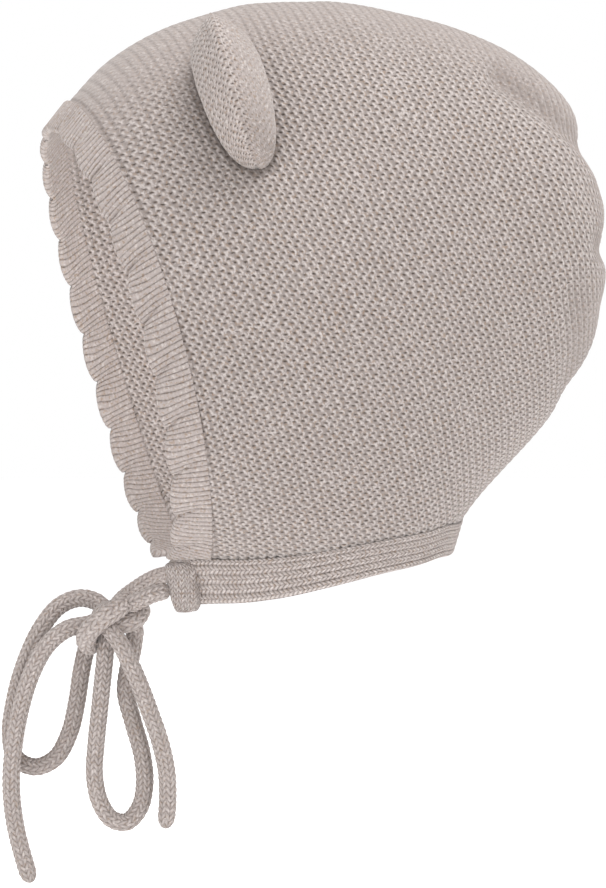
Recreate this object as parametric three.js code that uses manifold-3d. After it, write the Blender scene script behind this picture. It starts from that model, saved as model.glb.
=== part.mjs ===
// A knitted baby bonnet, tied in a bow below the chin.
// Millimetres, +Z up, the face opening looks along -Y and +X is the wearer's left.
// The origin is the seat: the point inside the crown that rests on the top of the head.
import * as THREE from 'three';
import { mergeVertices } from 'three/addons/utils/BufferGeometryUtils.js';
import Module from 'manifold-3d';

// Sizes of the hood
const bonnetDepth = 162;     // top of the face opening to the back of the head
const seatFromRim = 74.2;    // top of the face opening to the seat, along Y
const bonnetDrop = 160;      // crown to the lower corner of the face opening
const bodyHalfWidth = 62.5;  // centre plane to the outside of the hood, at its widest
const neckHalfWidth = 41;    // centre plane to the neck line, at its widest
const bodyWall = 3;          // thickness of the garter-stitch knit
const lowerTaper = 0.1;      // share by which a hoop narrows towards the neck

// Sizes of the scalloped edging
const edgingWall = 2.4;
const scallopPitch = 15;
const scallopDepth = 1.7;
const scallopFullness = 0.6; // power that rounds a scallop: 1 is a plain sine
const seamGap = 0.3;         // gap between pieces that are sewn to each other

// Sizes of the neck band and of its folded ends
const bandHeight = 12.6;     // at the front corners
const bandHeightBack = 9.6;  // round the sides and the nape
const bandGap = 0.4;
const bandWall = 3.4;
const bandLean = 0.3;        // share of its height by which the band leans in at its lower edge
const waleCount = 4;         // wales that run round the band
const waleRelief = 0.35;
const tabLength = 9;
const tabHeight = 14;
const tabThickness = 5.6;
const tabSlant = 3.4;        // how far the front of the tab leans back at its lower corner
const tabRound = 1.2;
const tabDrop = 0.65;        // the tab starts this far below the neck line

// Sizes of the ears
const earLength = 43;
const earHeight = 26;
const earThickness = 22;
const earLeanForward = 0.2; // forward lean of the ear, as a share of its height
const earTopHoop = 3.40;     // hoops at which the ear's seam starts and ends
const earLowHoop = 3.20;
const earAngle = 45.5;         // degrees from the crown, down the hoop, to the middle of the ear
const earLift = 0.35;
const earCrown = 0.9;        // further lift of the middle of its seam
const earRoundness = 0.6;    // power that rounds its outline: 1 is a plain sine
const earTipTaper = 0.25;    // share by which it is thinner at its edge

// Sizes of the ties
const tieDiameter = 4.8;
const tieSides = 8;
const tieStep = 5.4;      // length of one step of a tie's tube
const tieGap = 0.3;
const knotWidth = 12.5;      // across the head, along X
const knotDepth = 13.5;      // along Y
const knotHeight = 11.5;
const wrapOut = 0.36;        // offset of the strand that wraps the knot, as a share of knotWidth
const wrapTurn = -0.7;       // its slant, in radians

// Hoops run along a ridge of the knit, from the crown down both sides. back is a share of
// bonnetDepth from the rim and down a share of bonnetDrop from the crown: top is the hoop's place
// at the crown and low is where it closes, or would close below the neck line that cuts it. wide is
// a share of bodyHalfWidth, neck the half-width at which the neck line cuts the hoop, as a share of
// neckHalfWidth, and bow a share of bonnetDepth by which its middle stands behind its ends.
// The columns are the name, back, down, lowBack, lowDown, wide, neck and bow.
const hoops = [
  ['rim', 0.003, 0.234, 0.206, 1.002, 0.90, 0.26, 0.015],
  ['seam', 0.040, 0.189, 0.276, 1.030, 0.95, 0.54, 0.022],
  ['brow', 0.112, 0.112, 0.347, 1.070, 0.98, 0.74, 0.024],
  ['forehead', 0.217, 0.051, 0.442, 1.111, 1.00, 0.90, 0.022],
  ['ear', 0.333, 0.012, 0.552, 1.126, 1.01, 0.98, 0.016],
  ['before crown', 0.404, 0.002, 0.638, 1.078, 1.01, 0.90, 0.010],
  ['crown', 0.458, 0.000, 0.700, 0.998, 1.00, 0.67, 0.005],
  ['nape', 0.515, 0.000, 0.750, 0.921, 0.98, 0.00, 0.002],
  ['behind crown', 0.605, 0.012, 0.813, 0.845, 0.93, 0.00, 0.000],
  ['upper back', 0.724, 0.040, 0.919, 0.727, 0.84, 0.00, 0.000],
  ['middle back', 0.832, 0.085, 0.974, 0.637, 0.69, 0.00, 0.000],
  ['lower back', 0.918, 0.155, 1.000, 0.540, 0.46, 0.00, 0.000],
  ['gather', 0.964, 0.258, 1.001, 0.445, 0.23, 0.00, 0.000],
  ['pole', 0.994, 0.350, 0.994, 0.350, 0.00, 0.00, 0.000],
].map(([at, back, down, lowBack, lowDown, wide, neck, bow]) => ({
  at, back, down, lowBack, lowDown, wide, neck, bow,
}));
const seamRow = 1;
const poleMargin = 0.05;  // hoops short of the pole at which its direction is measured
const napeRow = 7;
const rowEasing = 1.6;    // power by which hoops are drawn closer towards the nape
const poleRow = hoops.length - 1;

// Creases of the gathered back, on both sides of the head: each runs from one point of the side
// view to another (back and down as above), pressed in by depth over a half-width, both in mm.
// The columns are the name, back, down, toBack, toDown, depth and halfWidth.
const creases = [
  ['crown crease', 0.770, 0.150, 0.965, 0.275, 2.6, 5.0],
  ['gather notch', 0.955, 0.440, 1.010, 0.448, 2.2, 4.0],
  ['back hollow', 0.905, 0.545, 0.925, 0.680, 1.6, 7.0],
  ['low crease', 0.985, 0.545, 0.905, 0.700, 0.5, 3.0],
].map(([at, back, down, toBack, toDown, depth, halfWidth]) => ({
  at, back, down, toBack, toDown, depth, halfWidth,
}));

// The ties, in the order in which each tie runs: from the end of the band to the knot, round the
// bow loop back to the knot, and from there to its free end. The points are chosen by hand.
const knotCentre = [0, -54.4, -172.6];
const tieRoutes = {
  tie_left_lead: [
    [12.3, -41.1, -164.5], [10.6, -44.4, -165.5], [8.6, -47.8, -167.2], [4.2, -51.8, -170.0],
  ],
  tie_left_loop: [
    [1.0, -54.2, -173.7], [2.6, -56.2, -178.7], [2.6, -57.1, -186.6], [2.4, -58.2, -197.3],
    [2.2, -59.3, -208.3], [2.0, -59.7, -216.8], [1.8, -58.1, -224.5], [1.8, -54.7, -229.4],
    [1.8, -50.4, -230.2], [1.8, -46.8, -226.4], [1.8, -45.3, -219.9], [1.8, -46.0, -211.4],
    [1.2, -48.5, -202.1], [0.6, -50.5, -193.6], [0.8, -49.8, -186.8], [1.4, -48.7, -181.7],
    [2.0, -48.3, -178.2], [2.6, -48.3, -175.6], [3.4, -49.8, -174.0], [3.2, -52.7, -173.4],
  ],
  tie_left_end: [
    [5.4, -57.5, -173.5], [8.0, -55.7, -176.2], [9.8, -53.4, -179.8], [10.0, -50.9, -184.9],
    [9.2, -48.1, -190.9], [8.2, -44.9, -198.9], [7.8, -41.9, -207.4], [7.6, -40.0, -215.9],
    [7.4, -39.7, -224.4], [7.2, -40.3, -231.9],
  ],
  tie_right_lead: [
    [-18.6, -35.0, -161.0], [-13.6, -39.6, -161.8], [-12.0, -42.2, -162.9], [-10.2, -45.6, -164.8],
    [-7.5, -49.5, -167.2], [-2.0, -53.5, -170.2],
  ],
  tie_right_loop: [
    [-1.0, -55.0, -171.0], [-4.6, -58.0, -168.2], [-7.4, -62.5, -167.2], [-9.2, -68.0, -169.5],
    [-10.4, -73.0, -175.7], [-11.0, -77.5, -185.4], [-11.4, -80.5, -196.2], [-11.4, -81.7, -206.1],
    [-11.0, -80.1, -212.7], [-10.2, -74.8, -215.2], [-9.4, -69.1, -212.7], [-8.6, -65.2, -205.6],
    [-7.8, -63.1, -196.2], [-7.2, -61.8, -187.1], [-6.4, -59.8, -179.4], [-3.0, -56.0, -174.2],
  ],
  tie_right_end: [
    [0.0, -55.7, -172.6], [-0.4, -60.8, -174.3], [-2.0, -66.8, -175.7], [-3.6, -72.3, -180.3],
    [-4.4, -76.5, -187.9], [-4.8, -79.5, -197.2], [-5.0, -81.6, -208.5], [-5.0, -82.4, -219.8],
    [-5.0, -81.2, -231.2], [-5.0, -78.7, -241.1], [-5.0, -76.7, -247.6],
  ],
};

// Fineness of the meshes
const bodyRows = 26;
const bodyColumns = 36;
const edgingRows = 2;
const edgingColumnsPerScallop = 5;
const bandSteps = 40;
const earRows = 14;
const earColumns = 16;

const knitColour = new THREE.Color(0xaea29d);
const bandColour = new THREE.Color(0xbcafa9);
const knit = new THREE.MeshStandardMaterial({ color: knitColour, roughness: 0.95, metalness: 0 });
const ribColour = knitColour.clone().offsetHSL(0, 0, 0.02);
const ribKnit = new THREE.MeshStandardMaterial({ color: ribColour, roughness: 0.93, metalness: 0 });
const bandKnit = new THREE.MeshStandardMaterial({ color: bandColour, roughness: 0.93, metalness: 0 });

const wasm = await Module();
wasm.setup();

// Value of a column of the hoops in one row. Before the rim the hoops run on straight. Past the
// pole they come back with their ends swapped, so the surface closes round.
function rowValue(index, column) {
  if (index < 0) {
    return hoops[0][column] + index * (hoops[1][column] - hoops[0][column]);
  }
  if (index <= poleRow) {
    return hoops[index][column];
  }
  const mirrored = hoops[2 * poleRow - index];
  const swapped = { back: 'lowBack', down: 'lowDown', lowBack: 'back', lowDown: 'down' };
  return column in swapped ? mirrored[swapped[column]] : -mirrored[column];
}

// Value of a column at a fractional row, on a smooth curve through the rows. With a power of 2 the
// curve runs through the squares, which rounds a column's way down to nothing.
function column(name, u, power = 1) {
  const row = Math.max(Math.min(Math.floor(u), poleRow), -1);
  const t = u - row;
  const [a, b, c, d] = [-1, 0, 1, 2].map((step) => rowValue(row + step, name) ** power);
  const square = 2 * a - 5 * b + 4 * c - d;
  const cube = 3 * b - a - 3 * c + d;
  const value = 0.5 * (2 * b + (c - a) * t + square * t ** 2 + cube * t ** 3);
  return power === 1 ? value : Math.max(value, 0) ** (1 / power);
}

function place(back, down) {
  return new THREE.Vector3(0, back * bonnetDepth - seatFromRim, bodyWall - down * bonnetDrop);
}

function hoopHalfWidth(u) {
  return Math.max(column('wide', u), 0) * bodyHalfWidth;
}

// Angle at which a hoop ends, from the crown: 180 degrees where it closes at the back
function hoopEnd(u) {
  const neck = column('neck', u, 2) * neckHalfWidth;
  const wide = hoopHalfWidth(u) * (1 - lowerTaper);
  return u >= napeRow ? Math.PI : Math.PI - Math.asin(Math.min(neck / wide, 1));
}

// Point of the smooth outer surface: u counts hoops, angle is measured from the crown
function hoopPoint(u, angle) {
  const share = (1 - Math.cos(angle)) / 2;
  const top = place(column('back', u), column('down', u));
  const low = place(column('lowBack', u), column('lowDown', u));
  const point = top.lerp(low, share);
  point.y += 4 * column('bow', u) * bonnetDepth * share * (1 - share);
  point.x = hoopHalfWidth(u) * Math.sin(angle) * (1 - lowerTaper * share);
  return point;
}

// Hoops between two rows, closer together towards the last
function easedRow(from, to, share) {
  return THREE.MathUtils.lerp(from, to, 1 - (1 - share) ** rowEasing);
}

// Outward direction of a surface that is given as a function of hoop and angle
function surfaceNormal(surface, u, angle) {
  const step = 0.02;
  const high = Math.min(u + step, poleRow - poleMargin / 10);
  const alongU = surface(high, angle).sub(surface(u - step, angle));
  const alongAngle = surface(u, angle + step).sub(surface(u, angle - step));
  return alongAngle.cross(alongU).normalize();
}

// How far the creases press the knit in at a point of the surface
function creaseDepth(point) {
  let depth = 0;
  for (const crease of creases) {
    const from = place(crease.back, crease.down);
    const to = place(crease.toBack, crease.toDown);
    const flat = new THREE.Vector3(0, point.y, point.z);
    const nearest = new THREE.Line3(from, to).closestPointToPoint(flat, true, new THREE.Vector3());
    depth += crease.depth * Math.exp(-((flat.distanceTo(nearest) / crease.halfWidth) ** 2));
  }
  return depth;
}

function bodyPoint(u, angle) {
  const point = hoopPoint(u, angle);
  const normal = surfaceNormal(hoopPoint, Math.min(u, poleRow - poleMargin), angle);
  return point.addScaledVector(normal, -creaseDepth(point));
}

// A closed knitted wall between an outer sheet and an inner one. point(s, t, depth) gives a point
// for s and t from 0 to 1 and a depth of 0 outside or 1 inside.
function wallGeometry(point, rows, columns) {
  const positions = [];
  const addQuad = (a, b, c, d) => {
    for (const vertex of [a, b, c, a, c, d]) {
      positions.push(vertex.x, vertex.y, vertex.z);
    }
  };
  const sheet = (depth) => Array.from({ length: rows + 1 }, (_, i) =>
    Array.from({ length: columns + 1 }, (_, j) => point(i / rows, j / columns, depth)));
  const outer = sheet(0);
  const inner = sheet(1);
  for (let i = 0; i < rows; i += 1) {
    for (let j = 0; j < columns; j += 1) {
      addQuad(outer[i][j], outer[i][j + 1], outer[i + 1][j + 1], outer[i + 1][j]);
      addQuad(inner[i][j], inner[i + 1][j], inner[i + 1][j + 1], inner[i][j + 1]);
    }
    addQuad(outer[i][0], outer[i + 1][0], inner[i + 1][0], inner[i][0]);
    addQuad(outer[i][columns], inner[i][columns], inner[i + 1][columns], outer[i + 1][columns]);
  }
  for (let j = 0; j < columns; j += 1) {
    addQuad(outer[0][j], inner[0][j], inner[0][j + 1], outer[0][j + 1]);
    addQuad(outer[rows][j], outer[rows][j + 1], inner[rows][j + 1], inner[rows][j]);
  }
  return closedGeometry(positions);
}

// Joins the corners of loose triangles. Faces that have no area or that lie back to back, where a
// sheet closes on itself, are left out.
function closedGeometry(positions) {
  const loose = new THREE.BufferGeometry();
  loose.setAttribute('position', new THREE.Float32BufferAttribute(positions, 3));
  const merged = mergeVertices(loose, 1e-3);
  const faces = new Map();
  for (let i = 0; i < merged.index.count; i += 3) {
    const face = [0, 1, 2].map((corner) => merged.index.getX(i + corner));
    const key = [...face].sort((a, b) => a - b).join();
    if (new Set(face).size < 3) {
      continue;
    }
    if (faces.has(key)) {
      faces.delete(key);
    } else {
      faces.set(key, face);
    }
  }
  merged.setIndex([...faces.values()].flat());
  return outwardGeometry(merged);
}

// Turns a closed mesh inside out where its faces point in
function outwardGeometry(geometry) {
  const { position } = geometry.attributes;
  const corner = (i) => new THREE.Vector3().fromBufferAttribute(position, geometry.index.getX(i));
  let volume = 0;
  for (let i = 0; i < geometry.index.count; i += 3) {
    volume += corner(i).dot(corner(i + 1).cross(corner(i + 2)));
  }
  if (volume < 0) {
    const indices = Array.from(geometry.index.array).reverse();
    geometry.setIndex(indices);
  }
  geometry.computeVertexNormals();
  return geometry;
}

function toSolid(geometry) {
  const bare = geometry.clone();
  bare.deleteAttribute('normal');
  bare.deleteAttribute('uv');
  const merged = mergeVertices(bare, 1e-3);
  return new wasm.Manifold(new wasm.Mesh({
    numProp: 3,
    vertProperties: Float32Array.from(merged.attributes.position.array),
    triVerts: Uint32Array.from(merged.index.array),
  }));
}

function toGeometry(solid) {
  const mesh = solid.getMesh();
  const geometry = new THREE.BufferGeometry();
  geometry.setAttribute('position', new THREE.Float32BufferAttribute(mesh.vertProperties, 3));
  geometry.setIndex(Array.from(mesh.triVerts));
  geometry.computeVertexNormals();
  return geometry;
}

function named(name, geometry, material) {
  const mesh = new THREE.Mesh(geometry, material);
  mesh.name = name;
  return mesh;
}

// The hood

function bodyGeometry() {
  const firstRow = seamRow;
  const rowShare = (napeRow - firstRow) / (poleRow - firstRow);
  const rowsBeforeNape = Math.round(bodyRows * rowShare);
  const point = (s, t, depth) => {
    const row = s * bodyRows;
    const u = row <= rowsBeforeNape
      ? easedRow(firstRow, napeRow, row / rowsBeforeNape)
      : THREE.MathUtils.lerp(napeRow, poleRow, (row - rowsBeforeNape) / (bodyRows - rowsBeforeNape));
    const angle = (2 * t - 1) * hoopEnd(u);
    const outer = bodyPoint(u, angle);
    const normal = surfaceNormal(bodyPoint, Math.min(u, poleRow - poleMargin), angle);
    if (depth > 0 && s === 1) {
      normal.set(0, 1, 0);
    }
    return outer.addScaledVector(normal, -depth * bodyWall);
  };
  return wallGeometry(point, bodyRows, bodyColumns);
}

// The scalloped edging: arc lengths along the rim set where its scallops lie

function rimArc() {
  const steps = 200;
  const end = hoopEnd(0);
  const lengths = [0];
  for (let i = 1; i <= steps; i += 1) {
    const before = hoopPoint(0, ((i - 1) / steps) * end);
    lengths.push(lengths[i - 1] + before.distanceTo(hoopPoint(0, (i / steps) * end)));
  }
  const total = lengths[steps];
  const angleAt = (length) => {
    const upper = Math.max(lengths.findIndex((value) => value >= length - 1e-9), 1);
    const t = (length - lengths[upper - 1]) / (lengths[upper] - lengths[upper - 1]);
    return ((upper - 1 + t) / steps) * end;
  };
  return { total, angleAt };
}

function edgingGeometry() {
  const arc = rimArc();
  const columns = 2 * Math.round((arc.total / scallopPitch) * edgingColumnsPerScallop);
  const width = hoopPoint(0, Math.PI / 2).distanceTo(hoopPoint(seamRow, Math.PI / 2));
  const point = (s, t, depth) => {
    const length = (2 * t - 1) * arc.total;
    const angle = Math.sign(length) * arc.angleAt(Math.abs(length));
    const lobe = Math.abs(Math.sin((Math.PI * length) / scallopPitch)) ** scallopFullness;
    const front = ((1 - lobe) * scallopDepth) / width;
    const back = seamRow - seamGap / width;
    const u = THREE.MathUtils.lerp(front, back, s);
    const endShare = angle / hoopEnd(0);
    const turned = endShare * hoopEnd(u);
    const normal = surfaceNormal(hoopPoint, u, turned);
    return hoopPoint(u, turned).addScaledVector(normal, -depth * edgingWall);
  };
  return wallGeometry(point, edgingRows, columns);
}

// The neck line runs from the right front corner round the nape to the left one

function neckPoint(u, side) {
  const end = hoopEnd(u);
  const point = hoopPoint(u, end);
  point.x *= side;
  return point;
}

function neckCurve() {
  const points = [];
  const steps = 24;
  for (let i = 0; i <= steps; i += 1) {
    points.push(neckPoint(easedRow(bandFirstRow.right, napeRow, i / steps), -1));
  }
  for (let i = steps - 1; i >= 0; i -= 1) {
    points.push(neckPoint(easedRow(bandFirstRow.left, napeRow, i / steps), 1));
  }
  return new THREE.CatmullRomCurve3(points, false, 'centripetal');
}

// Across direction (away from the neck) and downward direction of the band at a place of its line
function bandFrame(curve, s) {
  const tangent = curve.getTangentAt(s);
  const flat = new THREE.Vector3(tangent.x, tangent.y, 0).normalize();
  const outward = new THREE.Vector3(flat.y, -flat.x, 0).negate();
  const down = new THREE.Vector3(0, 0, -1).addScaledVector(outward, -bandLean).normalize();
  return { outward, down, flat };
}

const bandFirstRow = { left: 0.55, right: 1.25 };  // hoops at which the band meets its folded ends
const bandTaperEnd = 0.3;   // share of the band's line at which it has its lesser height

function bandGeometry() {
  const curve = neckCurve();
  const stepsDown = 2 * waleCount;
  const point = (s, t, depth) => {
    const { outward, down } = bandFrame(curve, s);
    const groove = depth > 0 ? 0 : waleRelief * (0.5 + 0.5 * Math.cos(2 * Math.PI * waleCount * t));
    const fromFront = THREE.MathUtils.smoothstep(Math.min(s, 1 - s), 0, bandTaperEnd);
    const height = THREE.MathUtils.lerp(bandHeight, bandHeightBack, fromFront);
    const middle = curve.getPointAt(s).addScaledVector(down, bandGap + t * height);
    return middle.addScaledVector(outward, -groove - depth * bandWall);
  };
  return wallGeometry(point, bandSteps, stepsDown);
}

// The folded end of the band at one front corner

function tabGeometry() {
  const shape = new THREE.Shape();
  shape.moveTo(0, 0);
  shape.lineTo(tabLength - 2 * tabRound, 0);
  shape.lineTo(tabLength - 2 * tabRound, -tabHeight + 2 * tabRound);
  shape.lineTo(tabSlant, -tabHeight + 2 * tabRound);
  shape.closePath();
  const geometry = new THREE.ExtrudeGeometry(shape, {
    depth: tabThickness - 2 * tabRound,
    bevelEnabled: true,
    bevelThickness: tabRound,
    bevelSize: tabRound,
    bevelSegments: 2,
    curveSegments: 2,
  });
  geometry.translate(tabRound, -tabRound, -(tabThickness - 2 * tabRound) / 2);
  return geometry;
}

function bandEnd(name, side) {
  const curve = neckCurve();
  const s = side > 0 ? 1 : 0;
  const { outward, flat } = bandFrame(curve, s);
  const along = flat.clone().multiplyScalar(side > 0 ? -1 : 1);
  const mesh = named(name, tabGeometry(), bandKnit);
  const up = new THREE.Vector3(0, 0, 1);
  const across = new THREE.Vector3().crossVectors(along, up);
  mesh.setRotationFromMatrix(new THREE.Matrix4().makeBasis(along, up, across));
  const end = curve.getPointAt(s).addScaledVector(outward, -bandWall / 2);
  end.addScaledVector(along, -tabLength - seamGap);
  end.z -= tabDrop;
  mesh.position.copy(end);
  return mesh;
}

// A padded ear, sewn along a hoop

function earGeometry(side) {
  const middle = THREE.MathUtils.degToRad(earAngle);
  const middleHoop = (earTopHoop + earLowHoop) / 2;
  const above = hoopPoint(middleHoop, middle - 0.01);
  const hoopSpeed = hoopPoint(middleHoop, middle + 0.01).distanceTo(above) / 0.02;
  const halfAngle = earLength / 2 / hoopSpeed;
  const middleNormal = surfaceNormal(hoopPoint, middleHoop, middle);
  const axis = middleNormal.addScaledVector(new THREE.Vector3(0, -1, 0), earLeanForward).normalize();
  const point = (s, t) => {
    const along = -Math.cos(Math.PI * s);
    const fullness = Math.sin(Math.PI * s);
    const angle = middle + along * halfAngle;
    const hoop = THREE.MathUtils.lerp(earTopHoop, earLowHoop, (along + 1) / 2);
    const base = hoopPoint(hoop, angle);
    const normal = surfaceNormal(hoopPoint, hoop, angle);
    const thick = new THREE.Vector3(0, 1, 0).addScaledVector(normal, -normal.y).normalize();
    const turn = 2 * Math.PI * t;
    const out = (1 - Math.cos(turn)) / 2;
    const full = fullness ** earRoundness;
    const height = earHeight * full * out;
    const width = (earThickness / 2) * full * Math.sin(turn) * (1 - earTipTaper * out);
    const result = base.addScaledVector(normal, earLift + earCrown * fullness);
    result.addScaledVector(axis, height).addScaledVector(thick, width);
    result.x *= side;
    return result;
  };
  const positions = [];
  const grid = Array.from({ length: earRows + 1 }, (_, i) =>
    Array.from({ length: earColumns + 1 }, (_, j) => point(i / earRows, j / earColumns)));
  for (let i = 0; i < earRows; i += 1) {
    for (let j = 0; j < earColumns; j += 1) {
      const quad = [grid[i][j], grid[i][j + 1], grid[i + 1][j + 1], grid[i + 1][j]];
      for (const corner of [0, 1, 2, 0, 2, 3]) {
        positions.push(quad[corner].x, quad[corner].y, quad[corner].z);
      }
    }
  }
  return closedGeometry(positions);
}

// The ties and their knot

function tubeSolid(points) {
  const curve = new THREE.CatmullRomCurve3(points.map((p) => new THREE.Vector3(...p)), false, 'centripetal');
  const section = new THREE.Shape();
  for (let i = 0; i < tieSides; i += 1) {
    const angle = (2 * Math.PI * i) / tieSides;
    const corner = [0.5 * tieDiameter * Math.cos(angle), 0.5 * tieDiameter * Math.sin(angle)];
    section[i === 0 ? 'moveTo' : 'lineTo'](...corner);
  }
  section.closePath();
  const steps = Math.round(curve.getLength() / tieStep);
  return toSolid(new THREE.ExtrudeGeometry(section, { steps, extrudePath: curve, bevelEnabled: false }));
}

function knotSolid(grow) {
  const lump = (width, depth, height, centre, turn) => {
    const geometry = new THREE.SphereGeometry(0.5, 12, 8);
    geometry.scale(width + 2 * grow, depth + 2 * grow, height + 2 * grow);
    geometry.rotateX(turn);
    geometry.translate(...knotCentre);
    geometry.translate(...centre);
    return toSolid(geometry);
  };
  const core = lump(knotWidth, knotDepth, knotHeight, [0, 0, 0], 0);
  const [wide, deep, high] = [tieDiameter * 1.3, knotDepth * 1.05, tieDiameter * 1.25];
  const wrap = lump(wide, deep, high, [knotWidth * wrapOut, 0, 0], wrapTurn);
  return core.add(wrap);
}

const bonnet = new THREE.Group();
bonnet.add(named('knit_body', bodyGeometry(), knit));
bonnet.add(named('scalloped_edging', edgingGeometry(), ribKnit));
bonnet.add(named('neck_band', bandGeometry(), bandKnit));
bonnet.add(bandEnd('band_end_left', 1));
bonnet.add(bandEnd('band_end_right', -1));
bonnet.add(named('ear_left', earGeometry(1), knit));
bonnet.add(named('ear_right', earGeometry(-1), knit));

const knotRoom = knotSolid(tieGap);
for (const [name, route] of Object.entries(tieRoutes)) {
  bonnet.add(named(name, toGeometry(tubeSolid(route).subtract(knotRoom)), bandKnit));
}
bonnet.add(named('bow_knot', toGeometry(knotSolid(0)), bandKnit));

export default bonnet;
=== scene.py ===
"""A knitted baby bonnet with two small ears, its ties knotted in a bow below the chin.

Sizes are in millimetres, as in the CAD part, and become metres when a mesh is placed.
+Z is up, the face opening looks along -Y and +X is the wearer's left.
"""
import logging
import math
from dataclasses import dataclass
from enum import Enum
from typing import Callable, Optional, Union

import bpy
import numpy as np
from mathutils import Matrix, Vector


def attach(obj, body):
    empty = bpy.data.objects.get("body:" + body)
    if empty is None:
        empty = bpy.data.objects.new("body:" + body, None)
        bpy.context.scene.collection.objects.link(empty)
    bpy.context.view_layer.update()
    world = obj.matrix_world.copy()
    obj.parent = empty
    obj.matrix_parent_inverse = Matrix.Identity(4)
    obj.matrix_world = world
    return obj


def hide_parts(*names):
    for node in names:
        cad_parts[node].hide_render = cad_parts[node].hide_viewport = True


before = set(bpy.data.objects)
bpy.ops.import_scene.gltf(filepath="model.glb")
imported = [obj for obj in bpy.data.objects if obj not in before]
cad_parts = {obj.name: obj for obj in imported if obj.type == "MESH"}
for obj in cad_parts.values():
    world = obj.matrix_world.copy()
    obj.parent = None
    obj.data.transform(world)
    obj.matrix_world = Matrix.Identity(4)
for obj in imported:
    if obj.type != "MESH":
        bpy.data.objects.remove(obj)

LOG = logging.getLogger("bonnet")
MM = 0.001
TAU = 2 * math.pi
WHITE = (1.0, 1.0, 1.0, 1.0)
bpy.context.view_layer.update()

Grid = np.ndarray
Surface = Callable[[Grid, Grid], Grid]


class Side(Enum):
    """The wearer's left or right, as the sign of X."""

    LEFT = 1
    RIGHT = -1


class Slot(Enum):
    """Material slots of the record, each with a material of the same name."""

    GARTER = "garter_knit"
    EDGING = "rib_edging"
    BAND = "band_knit"
    EAR = "ear_knit"
    TIE = "tie_cord"


# Maths that works on plain arrays and on shader values alike


def _operator(operation: str, turned: bool = False) -> Callable[["Value", "Term"], "Value"]:
    """Makes an arithmetic operator of shader values.

    Args:
        operation: the Math node's operation.
        turned: whether the other term comes first.

    Returns:
        The operator, as a method of Value.
    """

    def apply(value: "Value", other: "Term") -> "Value":
        """The operator's result."""
        return value.math(operation, *((other, value) if turned else (value, other)))

    return apply


class Value:
    """A number on a surface: a shader socket that takes part in Python expressions."""

    def __init__(self, nodes: "Nodes", socket: bpy.types.NodeSocket) -> None:
        """Wraps a socket of a node tree."""
        self.nodes = nodes
        self.socket = socket

    def math(self, operation: str, *terms: "Term") -> "Value":
        """The result of a new Math node with these inputs, sockets or numbers."""
        node = self.nodes.node("ShaderNodeMath", dict(enumerate(terms)), operation=operation)
        return Value(self.nodes, node.outputs[0])

    __add__ = _operator("ADD")
    __radd__ = _operator("ADD", turned=True)
    __sub__ = _operator("SUBTRACT")
    __rsub__ = _operator("SUBTRACT", turned=True)
    __mul__ = _operator("MULTIPLY")
    __rmul__ = _operator("MULTIPLY", turned=True)

    def __neg__(self) -> "Value":
        """Negative."""
        return self * -1.0


Term = Union[Value, float, Grid]

ARRAY_MATHS = {
    "SINE": np.sin,
    "COSINE": np.cos,
    "ABSOLUTE": np.abs,
    "FLOOR": np.floor,
    "EXPONENT": np.exp,
    "MAXIMUM": np.maximum,
    "MINIMUM": np.minimum,
    "POWER": np.power,
}


def work(operation: str, *terms: Term) -> Term:
    """Applies one function to numbers, arrays or shader values.

    Args:
        operation: a key of ARRAY_MATHS, which is also the Math node's operation.
        terms: what it is applied to.

    Returns:
        An array, or a shader value where one of the terms is one.
    """
    for term in terms:
        if isinstance(term, Value):
            return term.math(operation, *terms)
    return ARRAY_MATHS[operation](*terms)


def wave(turns: Term) -> Term:
    """Cosine of a number of whole turns."""
    return work("COSINE", turns * TAU)


def half_waves(turns: Term) -> Term:
    """Rounded waves from 0 at whole numbers to 1 between them."""
    return work("ABSOLUTE", work("SINE", turns * math.pi))


def ease(value: Term) -> Term:
    """A smooth step from 0 to 1 as the value goes from 0 to 1."""
    share = clamp(value)
    return share * share * (3.0 - 2.0 * share)


def clamp(value: Term) -> Term:
    """The value, kept from 0 to 1."""
    return work("MINIMUM", work("MAXIMUM", value, 0.0), 1.0)


def bell(value: Term) -> Term:
    """1 at zero, falling off to 0 on both sides as a bell does."""
    return work("EXPONENT", -(value * value))


def centred(value: Term) -> Term:
    """Distance past the nearest whole number, from -0.5 to 0.5."""
    return value - work("FLOOR", value + 0.5)


def stroke(x: Term, y: Term, lean: float, length: float, width: float) -> Term:
    """A soft stroke round the origin.

    Args:
        x: first coordinate.
        y: second coordinate.
        lean: angle of the stroke from the first coordinate, in radians.
        length: half its length.
        width: half its width.

    Returns:
        1 in its middle, falling off to 0.
    """
    along = (x * math.cos(lean) + y * math.sin(lean)) * (1 / length)
    across = (y * math.cos(lean) - x * math.sin(lean)) * (1 / width)
    return work("EXPONENT", -(along * along + across * across))


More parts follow.
